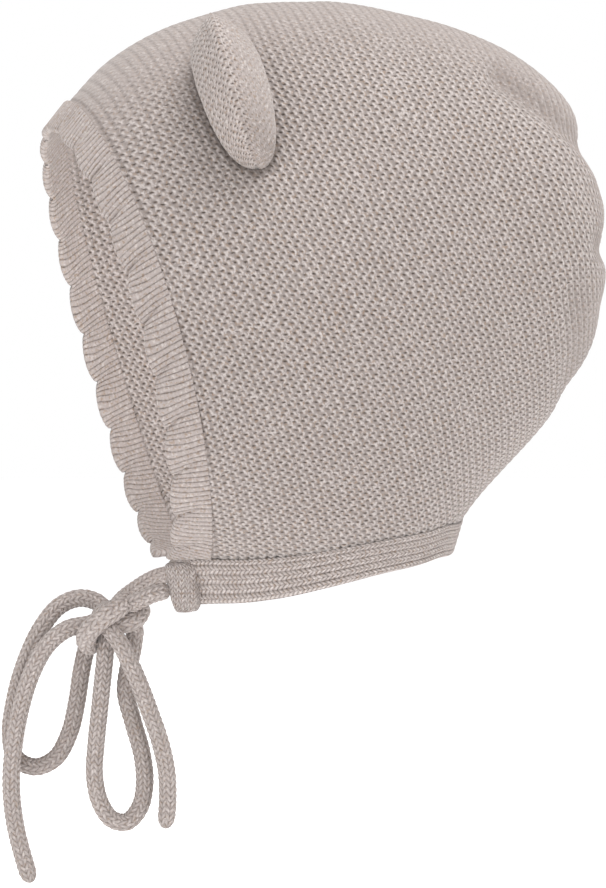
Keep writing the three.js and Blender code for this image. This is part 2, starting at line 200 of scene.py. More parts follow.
@dataclass(frozen=True)
class GarterLattice:
    """Where garter stitch shows gaps and strands: two sets, about half a stitch apart.

    Places and sizes are in ridges across and stitches along. A shape holds the lean of a stroke
    in radians, half its length and half its width.
    """

    gap_shape: tuple = (0.12, 0.20, 0.10)
    gap_places: tuple = ((0.0, 0.0), (0.44, 0.54))
    strand_shape: tuple = (1.36, 0.285, 0.185)
    strand_places: tuple = ((0.33, -0.05), (0.71, 0.52))
    groove_width: float = 0.16

    def _strokes(self, ridge: Term, stitch: Term, places: tuple, shape: tuple) -> Term:
        """Equal strokes at both places of every ridge and stitch."""
        first, second = (stroke(centred(ridge - x), centred(stitch - y), *shape) for x, y in places)
        return first + second

    def gaps(self, ridge: Term, stitch: Term) -> Term:
        """Gaps under the yarn, where shade is painted, 1 in the middle of a gap."""
        return self._strokes(ridge, stitch, self.gap_places, self.gap_shape)

    def strands(self, ridge: Term, stitch: Term) -> Term:
        """Strands of yarn that slant between the gaps, 1 along their middle."""
        return self._strokes(ridge, stitch, self.strand_places, self.strand_shape)

    def grooves(self, ridge: Term) -> Term:
        """Narrow grooves between the ridges, where the knit is drawn tight over a curve."""
        return bell(centred(ridge) * (1 / self.groove_width))


LATTICE = GarterLattice()


def vee_height(wale: Term, stitch: Term, rise: float = 0.9) -> Term:
    """Height of the two legs of each V of stocking stitch, from 0 to 1.

    Args:
        wale: place across the wales, 1 for each wale.
        stitch: place along a wale, 1 for each stitch.
        rise: how far a leg rises from the middle of its wale to the side, in stitches.

    Returns:
        1 along the middle of a leg and 0 in the creases round it.
    """
    within = wale - work("FLOOR", wale)
    offset = work("ABSOLUTE", within - 0.5)
    leg = half_waves(stitch - offset * (2 * rise))
    across = work("ABSOLUTE", work("SINE", offset * TAU))
    return work("POWER", leg, 0.7) * (0.15 + 0.85 * work("POWER", across, 0.55))


def rib_height(rib: Term) -> Term:
    """Height of fine ribs, from 0 in the grooves to 1 on top."""
    return work("POWER", half_waves(rib), 0.6)


# About the mean heights of both, which keep a relief where the smooth surface is
RIB_MEAN = 0.7
VEE_MEAN = 0.6


# Finishes


class Nodes:
    """A shader's node tree."""

    def __init__(self, tree: bpy.types.NodeTree) -> None:
        """Takes the tree of a material or a world."""
        self.tree = tree

    def node(self, kind: str, inputs: Optional[dict] = None, **settings: object) -> bpy.types.Node:
        """Adds a node.

        Args:
            kind: the node's type.
            inputs: its inputs, as for feed.
            settings: its properties, set first.

        Returns:
            The node.
        """
        node = self.tree.nodes.new(kind)
        for key, setting in settings.items():
            setattr(node, key, setting)
        self.feed(node, inputs or {})
        return node

    def feed(self, node: bpy.types.Node, inputs: dict) -> None:
        """Sets inputs of a node.

        Args:
            node: the node.
            inputs: for each input, by name or place, a constant, a Value or a socket.
        """
        for key, value in inputs.items():
            if isinstance(value, Value):
                value = value.socket
            if isinstance(value, bpy.types.NodeSocket):
                self.tree.links.new(value, node.inputs[key])
            else:
                node.inputs[key].default_value = value

    def noise(self, scale: float, detail: float, place: bpy.types.NodeSocket) -> Value:
        """Noise from 0 to 1.

        Args:
            scale: its scale, in turns per metre.
            detail: its number of octaves.
            place: the coordinates that it reads.

        Returns:
            The noise as a value.
        """
        inputs = {"Vector": place, "Scale": scale, "Detail": detail, "Roughness": 0.6}
        return Value(self, self.node("ShaderNodeTexNoise", inputs).outputs["Fac"])

    def mix(self, factor: Term, first: object, second: object) -> bpy.types.NodeSocket:
        """Mixes two colours, or colour sockets, by how much of the second shows."""
        node = self.node("ShaderNodeMix", {0: factor, 6: first, 7: second}, data_type="RGBA")
        return node.outputs[2]

    def parts(self, vector: bpy.types.NodeSocket) -> tuple:
        """The three coordinates of a vector."""
        split = self.node("ShaderNodeSeparateXYZ", {0: vector})
        return tuple(Value(self, output) for output in split.outputs)

    def stored(self, name: str) -> Value:
        """A number that the mesh stores at its vertices."""
        node = self.node("ShaderNodeAttribute", attribute_name=name)
        return Value(self, node.outputs["Fac"])


class Shader(Nodes):
    """The node tree of one material, with a Principled shader at its end."""

    def __init__(self, name: str) -> None:
        """Makes a material of that name."""
        self.material = bpy.data.materials.new(name)
        self.material.use_nodes = True
        super().__init__(self.material.node_tree)
        self.tree.nodes.clear()
        self.surface = self.node("ShaderNodeBsdfPrincipled")
        self.node("ShaderNodeOutputMaterial", {"Surface": self.surface.outputs["BSDF"]})


@dataclass(frozen=True)
class Yarn:
    """Colours of a heathered yarn with its painted shade and highlight, as linear red, green and blue."""

    base: tuple = (0.352, 0.306, 0.288, 1.0)
    # light is the pale of the heather, and also the painted highlight on the crests of the yarn
    light: tuple = (0.640, 0.578, 0.556, 1.0)
    brown: tuple = (0.262, 0.182, 0.126, 1.0)
    # gap is the dark colour of painted shade in the gaps and of painted shadow
    gap: tuple = (0.075, 0.056, 0.046, 1.0)
    # calm is the even colour of tight knit, lighter than the hood's, and so partly painted light
    calm: tuple = (0.340, 0.296, 0.279, 1.0)


# The hood's yarn is a darker copy, as painted shade of its open stitches
HOOD_YARN = Yarn((0.264, 0.228, 0.213, 1.0), (0.535, 0.483, 0.465, 1.0))
RIB_YARN = Yarn((0.348, 0.303, 0.286, 1.0), (0.500, 0.446, 0.425, 1.0))
EAR_YARN = Yarn((0.318, 0.276, 0.259, 1.0), (0.540, 0.486, 0.465, 1.0))

# Soft, matt wool, as inputs of the Principled shader
WOOL = {
    "Roughness": 0.93,
    "Specular IOR Level": 0.18,
    "Sheen Weight": 0.25,
    "Sheen Roughness": 0.55,
    "Sheen Tint": (0.9, 0.87, 0.85, 1.0),
}

# Scales of the noises, in turns per metre
SWAY_SCALE = 170.0
DRIFT_SCALE = 260.0
GAP_SCALE = 520.0
FIBRE_SCALE = 2600.0
BROWN_SCALE = 1250.0
LIGHT_SCALE = 1000.0
CLOUD_SCALE = 28.0
NOISE_SHIFT = (0.37, 0.11, 0.53)


class Stitch(Enum):
    """How a piece is knitted."""

    GARTER = "garter"
    RIB = "rib"
    VEE = "vee"


@dataclass(frozen=True)
class KnitFinish:
    """A knitted surface, its stitches laid out by the piece's UV map.

    Where the knit is drawn tight, along the crown and the back, it shows grooves between its
    ridges and fewer gaps, and its colour is calmer and lighter, partly as painted light. That is
    within tight_within of the middle plane and above tight_above, in metres. A toned finish reads
    the numbers Calm and Shade that its mesh stores, Shade being painted shadow. The colour holds
    painted shade in the gaps and grooves, and a painted highlight on the crests of the yarn.
    """

    slot: Slot
    stitch: Stitch
    yarn: Yarn = Yarn()
    relief: float = 0.0005
    gap_shade_strength: float = 1.1
    crest_highlight: float = 0.72
    heather: float = 0.75
    unevenness: float = 0.10
    tight_within: float = 0.0
    tight_above: float = -0.110
    tight_fades: tuple = (0.026, 0.030)
    tight_gaps: float = 0.62
    tight_relief: float = 0.65
    tight_groove: float = 0.3
    tight_calm: float = 0.4
    toned: bool = False

    def build(self) -> bpy.types.Material:
        """Makes the material.

        Returns:
            The material, which varies in colour and normal only.
        """
        shader = Shader(self.slot.value)
        place = shader.node("ShaderNodeTexCoord").outputs["Object"]
        across, along = self._stitches(shader, place)
        height, gaps = self._pattern(across, along)
        if self.tight_within:
            tight = self._tightness(shader, place)
            # The grooves also darken the colour through the gaps, as painted shade
            grooves = LATTICE.grooves(across) * tight * self.tight_groove
            gaps = gaps * (1.0 - tight * self.tight_gaps) + grooves
            height = 0.55 + (height - 0.55) * (1.0 - tight * self.tight_relief) - grooves
        if self.toned:
            lively = 1.0 - shader.stored("Calm")
            gaps = gaps * lively
            height = 0.5 + (height - 0.5) * lively
        fibres = shader.noise(FIBRE_SCALE, 2.0, place)
        # Painted highlight: the crests of the yarn are lighter
        crest = ease((height - 0.55) * 2.2) * self.crest_highlight
        colour = shader.mix(crest, self._colour(shader, place, fibres), self.yarn.light)
        # Painted shade in the gaps between the yarn, stronger or weaker by noise
        depth = ease((shader.noise(GAP_SCALE, 1.0, place) - 0.25) * 1.6)
        shade = clamp(gaps * (0.65 + 0.85 * depth) * self.gap_shade_strength)
        colour = shader.mix(shade, colour, self.yarn.gap)
        # The tight knit's colour is evened out and lightened, partly as painted light on the crown
        if self.tight_within:
            colour = shader.mix(tight * self.tight_calm, colour, self.yarn.calm)
        # Painted shadow that the mesh stores: beside the ears, along their seams and in the creases
        if self.toned:
            colour = shader.mix(shader.stored("Shade"), colour, self.yarn.gap)
        relief = {"Strength": 1.0, "Distance": self.relief, "Height": height * 0.8 + fibres * 0.16}
        bump = shader.node("ShaderNodeBump", relief)
        shader.feed(shader.surface, {"Base Color": colour, "Normal": bump.outputs[0], **WOOL})
        return shader.material

    def _stitches(self, shader: Shader, place: bpy.types.NodeSocket) -> tuple:
        """The two coordinates of the UV map, made uneven by noise."""
        across, along, _ = shader.parts(shader.node("ShaderNodeUVMap", uv_map="Knit").outputs[0])
        sway = shader.noise(SWAY_SCALE, 1.0, place) - 0.5
        drift = shader.noise(DRIFT_SCALE, 1.0, self._shifted(shader, place)) - 0.5
        return across + sway * (2 * self.unevenness), along + drift * (3 * self.unevenness)

    def _tightness(self, shader: Shader, place: bpy.types.NodeSocket) -> Value:
        """1 along the crown and the back, where the knit is drawn tight, and 0 at the sides."""
        x, _, z = shader.parts(place)
        middle = ease((self.tight_within - work("ABSOLUTE", x)) * (1 / self.tight_fades[0]))
        return middle * ease((z - self.tight_above) * (1 / self.tight_fades[1]))

    def _shifted(self, shader: Shader, place: bpy.types.NodeSocket) -> bpy.types.NodeSocket:
        """The same coordinates further along, for a noise of its own."""
        return shader.node("ShaderNodeVectorMath", {0: place, 1: NOISE_SHIFT}, operation="ADD").outputs[0]

    def _pattern(self, across: Value, along: Value) -> tuple:
        """Height of the yarn and strength of the gaps, where shade is painted, at a place of the UV map.

        Args:
            across: the first coordinate.
            along: the second coordinate.

        Returns:
            Height and gaps, both from 0 to 1.
        """
        if self.stitch is Stitch.GARTER:
            gaps = LATTICE.gaps(across, along)
            return 0.5 + 0.5 * LATTICE.strands(across, along) - 0.7 * gaps, gaps
        if self.stitch is Stitch.RIB:
            height = rib_height(across) * (0.89 + 0.11 * wave(along))
            return height, ease((0.68 - height) * 1.8)
        height = vee_height(across, along)
        return height, ease((0.42 - height) * 2.4)

    def _colour(self, shader: Shader, place: bpy.types.NodeSocket, fibres: Value) -> bpy.types.NodeSocket:
        """Heathered colour of the yarn.

        Args:
            shader: the node tree.
            place: object coordinates.
            fibres: fine noise along the yarn.

        Returns:
            The colour before the gaps darken it.
        """
        brown = ease((shader.noise(BROWN_SCALE, 2.0, place) - 0.50) * 5.0) * self.heather
        pale = shader.noise(LIGHT_SCALE, 2.0, self._shifted(shader, place))
        light = ease((pale - 0.50) * 4.5) * self.heather
        colour = shader.mix(brown, self.yarn.base, self.yarn.brown)
        colour = shader.mix(light, colour, self.yarn.light)
        lift = 0.90 + 0.12 * shader.noise(CLOUD_SCALE, 2.0, place) + 0.26 * (fibres - 0.5)
        return shader.node("ShaderNodeVectorMath", {0: colour, "Scale": lift}, operation="SCALE").outputs[0]


# Meshes


def only(piece: Optional[bpy.types.Object] = None) -> None:
    """Leaves one piece selected and active, or nothing.

    Args:
        piece: the piece, if there is one.
    """
    if bpy.context.view_layer.objects.active is not None and bpy.context.mode != "OBJECT":
        bpy.ops.object.mode_set(mode="OBJECT")
    bpy.ops.object.select_all(action="DESELECT")
    if piece is not None:
        piece.select_set(True)
        bpy.context.view_layer.objects.active = piece


def read(items: bpy.types.bpy_prop_collection, key: str, width: int, kind: type = np.float64) -> Grid:
    """Reads one property of a mesh's items.

    Args:
        items: its vertices, UV corners or the like.
        key: the property's name.
        width: how many numbers it holds.
        kind: their type.

    Returns:
        A row of numbers for each item.
    """
    values = np.empty(len(items) * width, kind)
    items.foreach_get(key, values)
    return values.reshape(-1, width)


def moved(points: Grid, direction: Grid, distance: Grid) -> Grid:
    """Points moved along a direction, each by a distance of its own."""
    return points + direction * distance[..., None]


@dataclass
class KnitGrid:
    """A grid of quads that is laid out over a surface, as a closed solid."""

    name: str
    rows: int
    columns: int

    def shares(self) -> tuple:
        """The coordinates of the grid points, from 0 to 1.

        Returns:
            Two arrays of rows + 1 by columns + 1, for the rows and the columns.
        """
        s = np.linspace(0.0, 1.0, self.rows + 1)
        t = np.linspace(0.0, 1.0, self.columns + 1)
        return np.meshgrid(s, t, indexing="ij")

    def build(
        self, outer: Grid, knit_map: tuple, inner: Optional[Grid] = None, tones: Optional[dict] = None
    ) -> bpy.types.Object:
        """Makes the mesh.

        Args:
            outer: points of the outer face, in mm.
            knit_map: the UV map's two values at each grid point.
            inner: points of the inner face, for a wall. Without it the grid closes by itself.
            tones: values from 0 to 1 that the mesh stores, by name, at each grid point.

        Returns:
            The piece, with its faces outwards and its UV map named Knit.
        """
        only()
        bpy.ops.mesh.primitive_grid_add(
            x_subdivisions=self.rows, y_subdivisions=self.columns, size=1, calc_uvs=True
        )
        piece = bpy.context.object
        mesh = piece.data
        piece.name = self.name
        mesh.name = self.name
        spots = self._spot(read(mesh.vertices, "co", 3) + 0.5)
        index = mesh.attributes.new("grid_point", "INT", "POINT")
        index.data.foreach_set("value", spots.astype(np.int32))
        self._place(mesh, outer.reshape(-1, 3)[spots])
        self._merge(piece)
        if inner is not None:
            self._add_wall(piece, outer, inner)
        layer = mesh.uv_layers[0]
        layer.name = "Knit"
        corners = self._spot(read(layer.data, "uv", 2))
        layer.data.foreach_set("uv", np.stack(knit_map, axis=-1).reshape(-1, 2)[corners].ravel())
        self._face_outwards(mesh)
        for name, values in (tones or {}).items():
            stored = values.reshape(-1)[self._points(mesh)].astype(np.float32)
            mesh.attributes.new(name, "FLOAT", "POINT").data.foreach_set("value", stored)
        mesh.attributes.remove(mesh.attributes["grid_point"])
        mesh.shade_smooth()
        return piece

    def _spot(self, shares: Grid) -> Grid:
        """Which grid point stands at each pair of shares, from 0 to 1."""
        row = np.clip(np.rint(shares[:, 0] * self.rows).astype(int), 0, self.rows)
        column = np.clip(np.rint(shares[:, 1] * self.columns).astype(int), 0, self.columns)
        return row * (self.columns + 1) + column

    def _points(self, mesh: bpy.types.Mesh) -> Grid:
        """Which grid point each vertex is."""
        return read(mesh.attributes["grid_point"].data, "value", 1, np.int32)[:, 0]

    def _place(self, mesh: bpy.types.Mesh, points: Grid) -> None:
        """Puts the vertices at these points, in mm."""
        mesh.vertices.foreach_set("co", (points * MM).ravel())
        mesh.update()

    def _merge(self, piece: bpy.types.Object) -> None:
        """Joins vertices that share a place, at poles and where the grid meets itself."""
        only(piece)
        bpy.ops.object.mode_set(mode="EDIT")
        bpy.ops.mesh.select_all(action="SELECT")
        bpy.ops.mesh.remove_doubles(threshold=2e-6)
        bpy.ops.object.mode_set(mode="OBJECT")

    def _add_wall(self, piece: bpy.types.Object, outer: Grid, inner: Grid) -> None:
        """Doubles the grid into a closed wall.

        Args:
            piece: the grid.
            outer: points of its outer face.
            inner: points of its inner face.
        """
        only(piece)
        shell = piece.modifiers.new("wall", "SOLIDIFY")
        shell.thickness = MM
        shell.offset = -1
        bpy.ops.object.modifier_apply(modifier=shell.name)
        spots = self._points(piece.data)
        count = len(spots) // 2
        points = outer.reshape(-1, 3)[spots]
        points[count:] = inner.reshape(-1, 3)[spots[count:]]
        self._place(piece.data, points)

    def _face_outwards(self, mesh: bpy.types.Mesh) -> None:
        """Turns the faces round where they point inwards."""
        places = read(mesh.vertices, "co", 3)
        mesh.calc_loop_triangles()
        corners = read(mesh.loop_triangles, "vertices", 3, np.int32)
        a, b, c = (places[corners[:, k]] for k in range(3))
        if np.einsum("ij,ij->i", a, np.cross(b, c)).sum() < 0:
            mesh.flip_normals()


def finish_piece(piece: bpy.types.Object, material: bpy.types.Material, slot: Slot, nodes: list) -> None:
    """Dresses a piece, hangs it from the root body and hides the CAD nodes that it replaces.

    Args:
        piece: the finished mesh.
        material: its material.
        slot: the record's slot of its finish; not used.
        nodes: the CAD nodes that it replaces.
    """
    piece.data.materials.append(material)
    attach(piece, "root")
    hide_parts(*nodes)
    LOG.info("%s: %d faces", piece.name, len(piece.data.polygons))


def normalised(vectors: Grid) -> Grid:
    """Vectors at length 1."""
    return vectors / np.maximum(np.linalg.norm(vectors, axis=-1, keepdims=True), 1e-12)


def grid_normals(points: Grid) -> Grid:
    """Directions square to a grid of points, by its neighbours."""
    return normalised(np.cross(np.gradient(points, axis=1), np.gradient(points, axis=0)))


def arc_lengths(points: Grid, axis: int = 0) -> Grid:
    """Length along a line of points, from its first point.

    Args:
        points: the points, with their coordinates on the last axis.
        axis: the axis along which the line runs.

    Returns:
        Lengths, of the shape of points without its last axis.
    """
    steps = np.linalg.norm(np.diff(points, axis=axis), axis=-1)
    start = np.zeros_like(np.take(steps, [0], axis=axis))
    return np.concatenate([start, np.cumsum(steps, axis=axis)], axis=axis)


def smooth_line(points: Grid, count: int, steps: int = 40) -> Grid:
    """A smooth curve through some points, as the CAD part draws it.

    Args:
        points: the points that it runs through.
        count: how many points are returned.
        steps: how finely the curve is drawn between two points.

    Returns:
        Points at equal distances along the curve.
    """
    points = np.asarray(points, float)
    knots = np.vstack([2 * points[0] - points[1], points, 2 * points[-1] - points[-2]])
    dense = []
    for i in range(1, len(knots) - 2):
        a, b, c, d = knots[i - 1 : i + 3]
        gaps = [max(np.linalg.norm(q - p), 1e-6) ** 0.5 for p, q in ((a, b), (b, c), (c, d))]
        enter = ((b - a) / gaps[0] - (c - a) / (gaps[0] + gaps[1]) + (c - b) / gaps[1]) * gaps[1]
        leave = ((c - b) / gaps[1] - (d - b) / (gaps[1] + gaps[2]) + (d - c) / gaps[2]) * gaps[1]
        t = np.linspace(0, 1, steps, endpoint=False)[:, None]
        curve = b + enter * t + (3 * (c - b) - 2 * enter - leave) * t**2
        dense.append(curve + (2 * (b - c) + enter + leave) * t**3)
    dense = np.vstack([*dense, points[-1:]])
    lengths = arc_lengths(dense)
    wanted = np.linspace(0, lengths[-1], count)
    return np.stack([np.interp(wanted, lengths, column) for column in dense.T], axis=-1)


def rounded_edge(distance: Grid, radius: float) -> Grid:
    """How far a face draws in, so that a wall's edge is round.

    Args:
        distance: distance from the edge, in mm.
        radius: half the wall's thickness, in mm.

    Returns:
        The way that the face stands back, in mm.
    """
    share = np.clip(1 - distance / radius, 0, 1)
    return radius * (1 - np.sqrt(1 - share**2))


def nearest_share(before: Grid, here: Grid, after: Grid, limit: float) -> Grid:
    """Where between three neighbours the nearest place lies, in steps from the middle one.

    Args:
        before: squared distance at the neighbour before.
        here: squared distance at the nearest of the three.
        after: squared distance at the neighbour after.
        limit: how many steps the place may lie away.

    Returns:
        The steps.
    """
    bend = np.maximum(before - 2 * here + after, 1e-9)
    return np.clip(0.5 * (before - after) / bend, -limit, limit)


# The hood


@dataclass(frozen=True)
class Hoop:
    """One hoop of the hood, in shares of the hood's depth, drop and half-width."""

    back: float
    down: float
    low_back: float
    low_down: float
    wide: float
    neck: float
    bow: float


HOOPS = (
    Hoop(0.003, 0.234, 0.206, 1.002, 0.90, 0.26, 0.015),
    Hoop(0.040, 0.189, 0.276, 1.030, 0.95, 0.54, 0.022),
    Hoop(0.112, 0.112, 0.347, 1.070, 0.98, 0.74, 0.024),
    Hoop(0.217, 0.051, 0.442, 1.111, 1.00, 0.90, 0.022),
    Hoop(0.333, 0.012, 0.552, 1.126, 1.01, 0.98, 0.016),
    Hoop(0.404, 0.002, 0.638, 1.078, 1.01, 0.90, 0.010),
    Hoop(0.458, 0.000, 0.700, 0.998, 1.00, 0.67, 0.005),
    Hoop(0.515, 0.000, 0.750, 0.921, 0.98, 0.00, 0.002),
    Hoop(0.605, 0.012, 0.813, 0.845, 0.93, 0.00, 0.000),
    Hoop(0.724, 0.040, 0.919, 0.727, 0.84, 0.00, 0.000),
    Hoop(0.832, 0.085, 0.974, 0.637, 0.69, 0.00, 0.000),
    Hoop(0.918, 0.155, 1.000, 0.540, 0.46, 0.00, 0.000),
    Hoop(0.964, 0.258, 1.001, 0.445, 0.23, 0.00, 0.000),
    Hoop(0.994, 0.350, 0.994, 0.350, 0.00, 0.00, 0.000),
)

# What a hoop's values turn into where the rows run on past the pole
MIRRORED = {"back": "low_back", "down": "low_down", "low_back": "back", "low_down": "down"}


@dataclass(frozen=True)
class Crease:
    """A crease of the gathered back: its ends in the side view, its depth and half-width in mm."""

    back: float
    down: float
    to_back: float
    to_down: float
    depth: float
    half_width: float


CREASES = (
    Crease(0.770, 0.150, 0.965, 0.275, 3.0, 4.6),
    Crease(0.955, 0.440, 1.010, 0.448, 2.2, 4.0),
    Crease(0.905, 0.545, 0.925, 0.680, 1.6, 7.0),
    Crease(0.985, 0.545, 0.905, 0.700, 0.5, 3.0),
)


@dataclass
class HoodForm:
    """The smooth surface of the hood, from the same hoops as the CAD part."""

    depth: float = 162.0
    seat_from_rim: float = 74.2
    drop: float = 160.0
    half_width: float = 62.5
    neck_half_width: float = 41.0
    wall: float = 3.0
    lower_taper: float = 0.1
    seam_row: int = 1
    nape_row: int = 7
    pole_row: int = len(HOOPS) - 1
    pole_margin: float = 0.05
    step: float = 0.02
    rim_steps: int = 400

    def column(self, name: str, u: Grid, power: int = 1) -> Grid:
        """Value of a column at fractional rows.

        Args:
            name: the column.
            u: rows, whole at the hoops.
            power: the curve runs through this power of the values.

        Returns:
            The values on a smooth curve through the rows, which run on past both ends.
        """
        values = [getattr(hoop, name) for hoop in HOOPS]
        before = [values[0] + i * (values[1] - values[0]) for i in (-2, -1)]
        sign = 1 if name in MIRRORED else -1
        after = [sign * getattr(hoop, MIRRORED.get(name, name)) for hoop in (HOOPS[-2], HOOPS[-3])]
        values = np.array([*before, *values, *after]) ** power
        row = np.clip(np.floor(u), -1, self.pole_row - 1).astype(int)
        t = u - row
        a, b, c, d = (values[row + shift] for shift in (1, 2, 3, 4))
        square = 2 * a - 5 * b + 4 * c - d
        cube = 3 * b - a - 3 * c + d
        value = 0.5 * (2 * b + (c - a) * t + square * t**2 + cube * t**3)
        return value if power == 1 else np.maximum(value, 0) ** (1 / power)

    def place(self, back: Grid, down: Grid) -> Grid:
        """Point of the centre plane for shares of the depth and the drop."""
        y = np.asarray(back * self.depth - self.seat_from_rim)
        return np.stack([np.zeros_like(y), y, self.wall - down * self.drop], axis=-1)

    def hoop_half_width(self, u: Grid) -> Grid:
        """Half-width of the hoops."""
        return np.maximum(self.column("wide", u), 0) * self.half_width

    def hoop_end(self, u: Grid) -> Grid:
        """Angle at which a hoop ends, from the crown, 180 degrees where it closes."""
        neck = self.column("neck", u, 2) * self.neck_half_width
        wide = np.maximum(self.hoop_half_width(u) * (1 - self.lower_taper), 1e-9)
        cut = math.pi - np.arcsin(np.minimum(neck / wide, 1))
        return np.where(u >= self.nape_row, math.pi, cut)

    def smooth(self, u: Grid, angle: Grid) -> Grid:
        """Points of the smooth outer surface.

        Args:
            u: rows, whole at the hoops.
            angle: angle down the hoop from the crown, negative on the wearer's right.

        Returns:
            The points, in mm.
        """
        share = (1 - np.cos(angle)) / 2
        top = self.place(self.column("back", u), self.column("down", u))
        low = self.place(self.column("low_back", u), self.column("low_down", u))
        point = moved(top, low - top, share)
        point[..., 1] += 4 * self.column("bow", u) * self.depth * share * (1 - share)
        point[..., 0] = self.hoop_half_width(u) * np.sin(angle) * (1 - self.lower_taper * share)
        return point

    def normal(self, surface: Surface, u: Grid, angle: Grid) -> Grid:
        """Outward direction of a surface that is given by row and angle."""
        high = np.minimum(u + self.step, self.pole_row - self.pole_margin / 10)
        along_u = surface(high, angle) - surface(u - self.step, angle)
        along_angle = surface(u, angle + self.step) - surface(u, angle - self.step)
        return normalised(np.cross(along_angle, along_u))

    def crease_depth(self, point: Grid) -> Grid:
        """How far the creases press the knit in.

        Args:
            point: points of the hood, in mm.

        Returns:
            Depths, in mm.
        """
        total = np.zeros(point.shape[:-1])
        for crease in CREASES:
            start = self.place(crease.back, crease.down)[1:]
            run = self.place(crease.to_back, crease.to_down)[1:] - start
            share = np.clip(((point[..., 1:] - start) @ run) / (run @ run), 0, 1)
            distance = np.linalg.norm(point[..., 1:] - start - share[..., None] * run, axis=-1)
            total += crease.depth * bell(distance / crease.half_width)
        return total

    def creased(self, u: Grid, angle: Grid) -> Grid:
        """Points of the outer surface with its creases."""
        point = self.smooth(u, angle)
        normal = self.normal(self.smooth, np.minimum(u, self.pole_row - self.pole_margin), angle)
        return moved(point, normal, -self.crease_depth(point))

    def rim(self) -> tuple:
        """Arc lengths down one side of the rim, and their angles."""
        angles = np.linspace(0, float(self.hoop_end(np.array(0.0))), self.rim_steps + 1)
        lengths = arc_lengths(self.smooth(np.zeros_like(angles), angles))
        return lengths, angles


# Ridges that the count on the sides gains at some heights in mm, which makes them lean
RIDGE_HEIGHTS = (-170.0, -40.0, -15.0, 3.0)
RIDGE_RISES = (-20.3, -3.5, -1.0, 0.0)

# Width of a stitch at some distances down a row from the crown, both in mm
STITCH_PLACES = (0.0, 60.0, 100.0, 135.0, 165.0, 260.0)
STITCH_PITCHES = (2.92, 2.88, 2.72, 2.48, 2.38, 2.38)


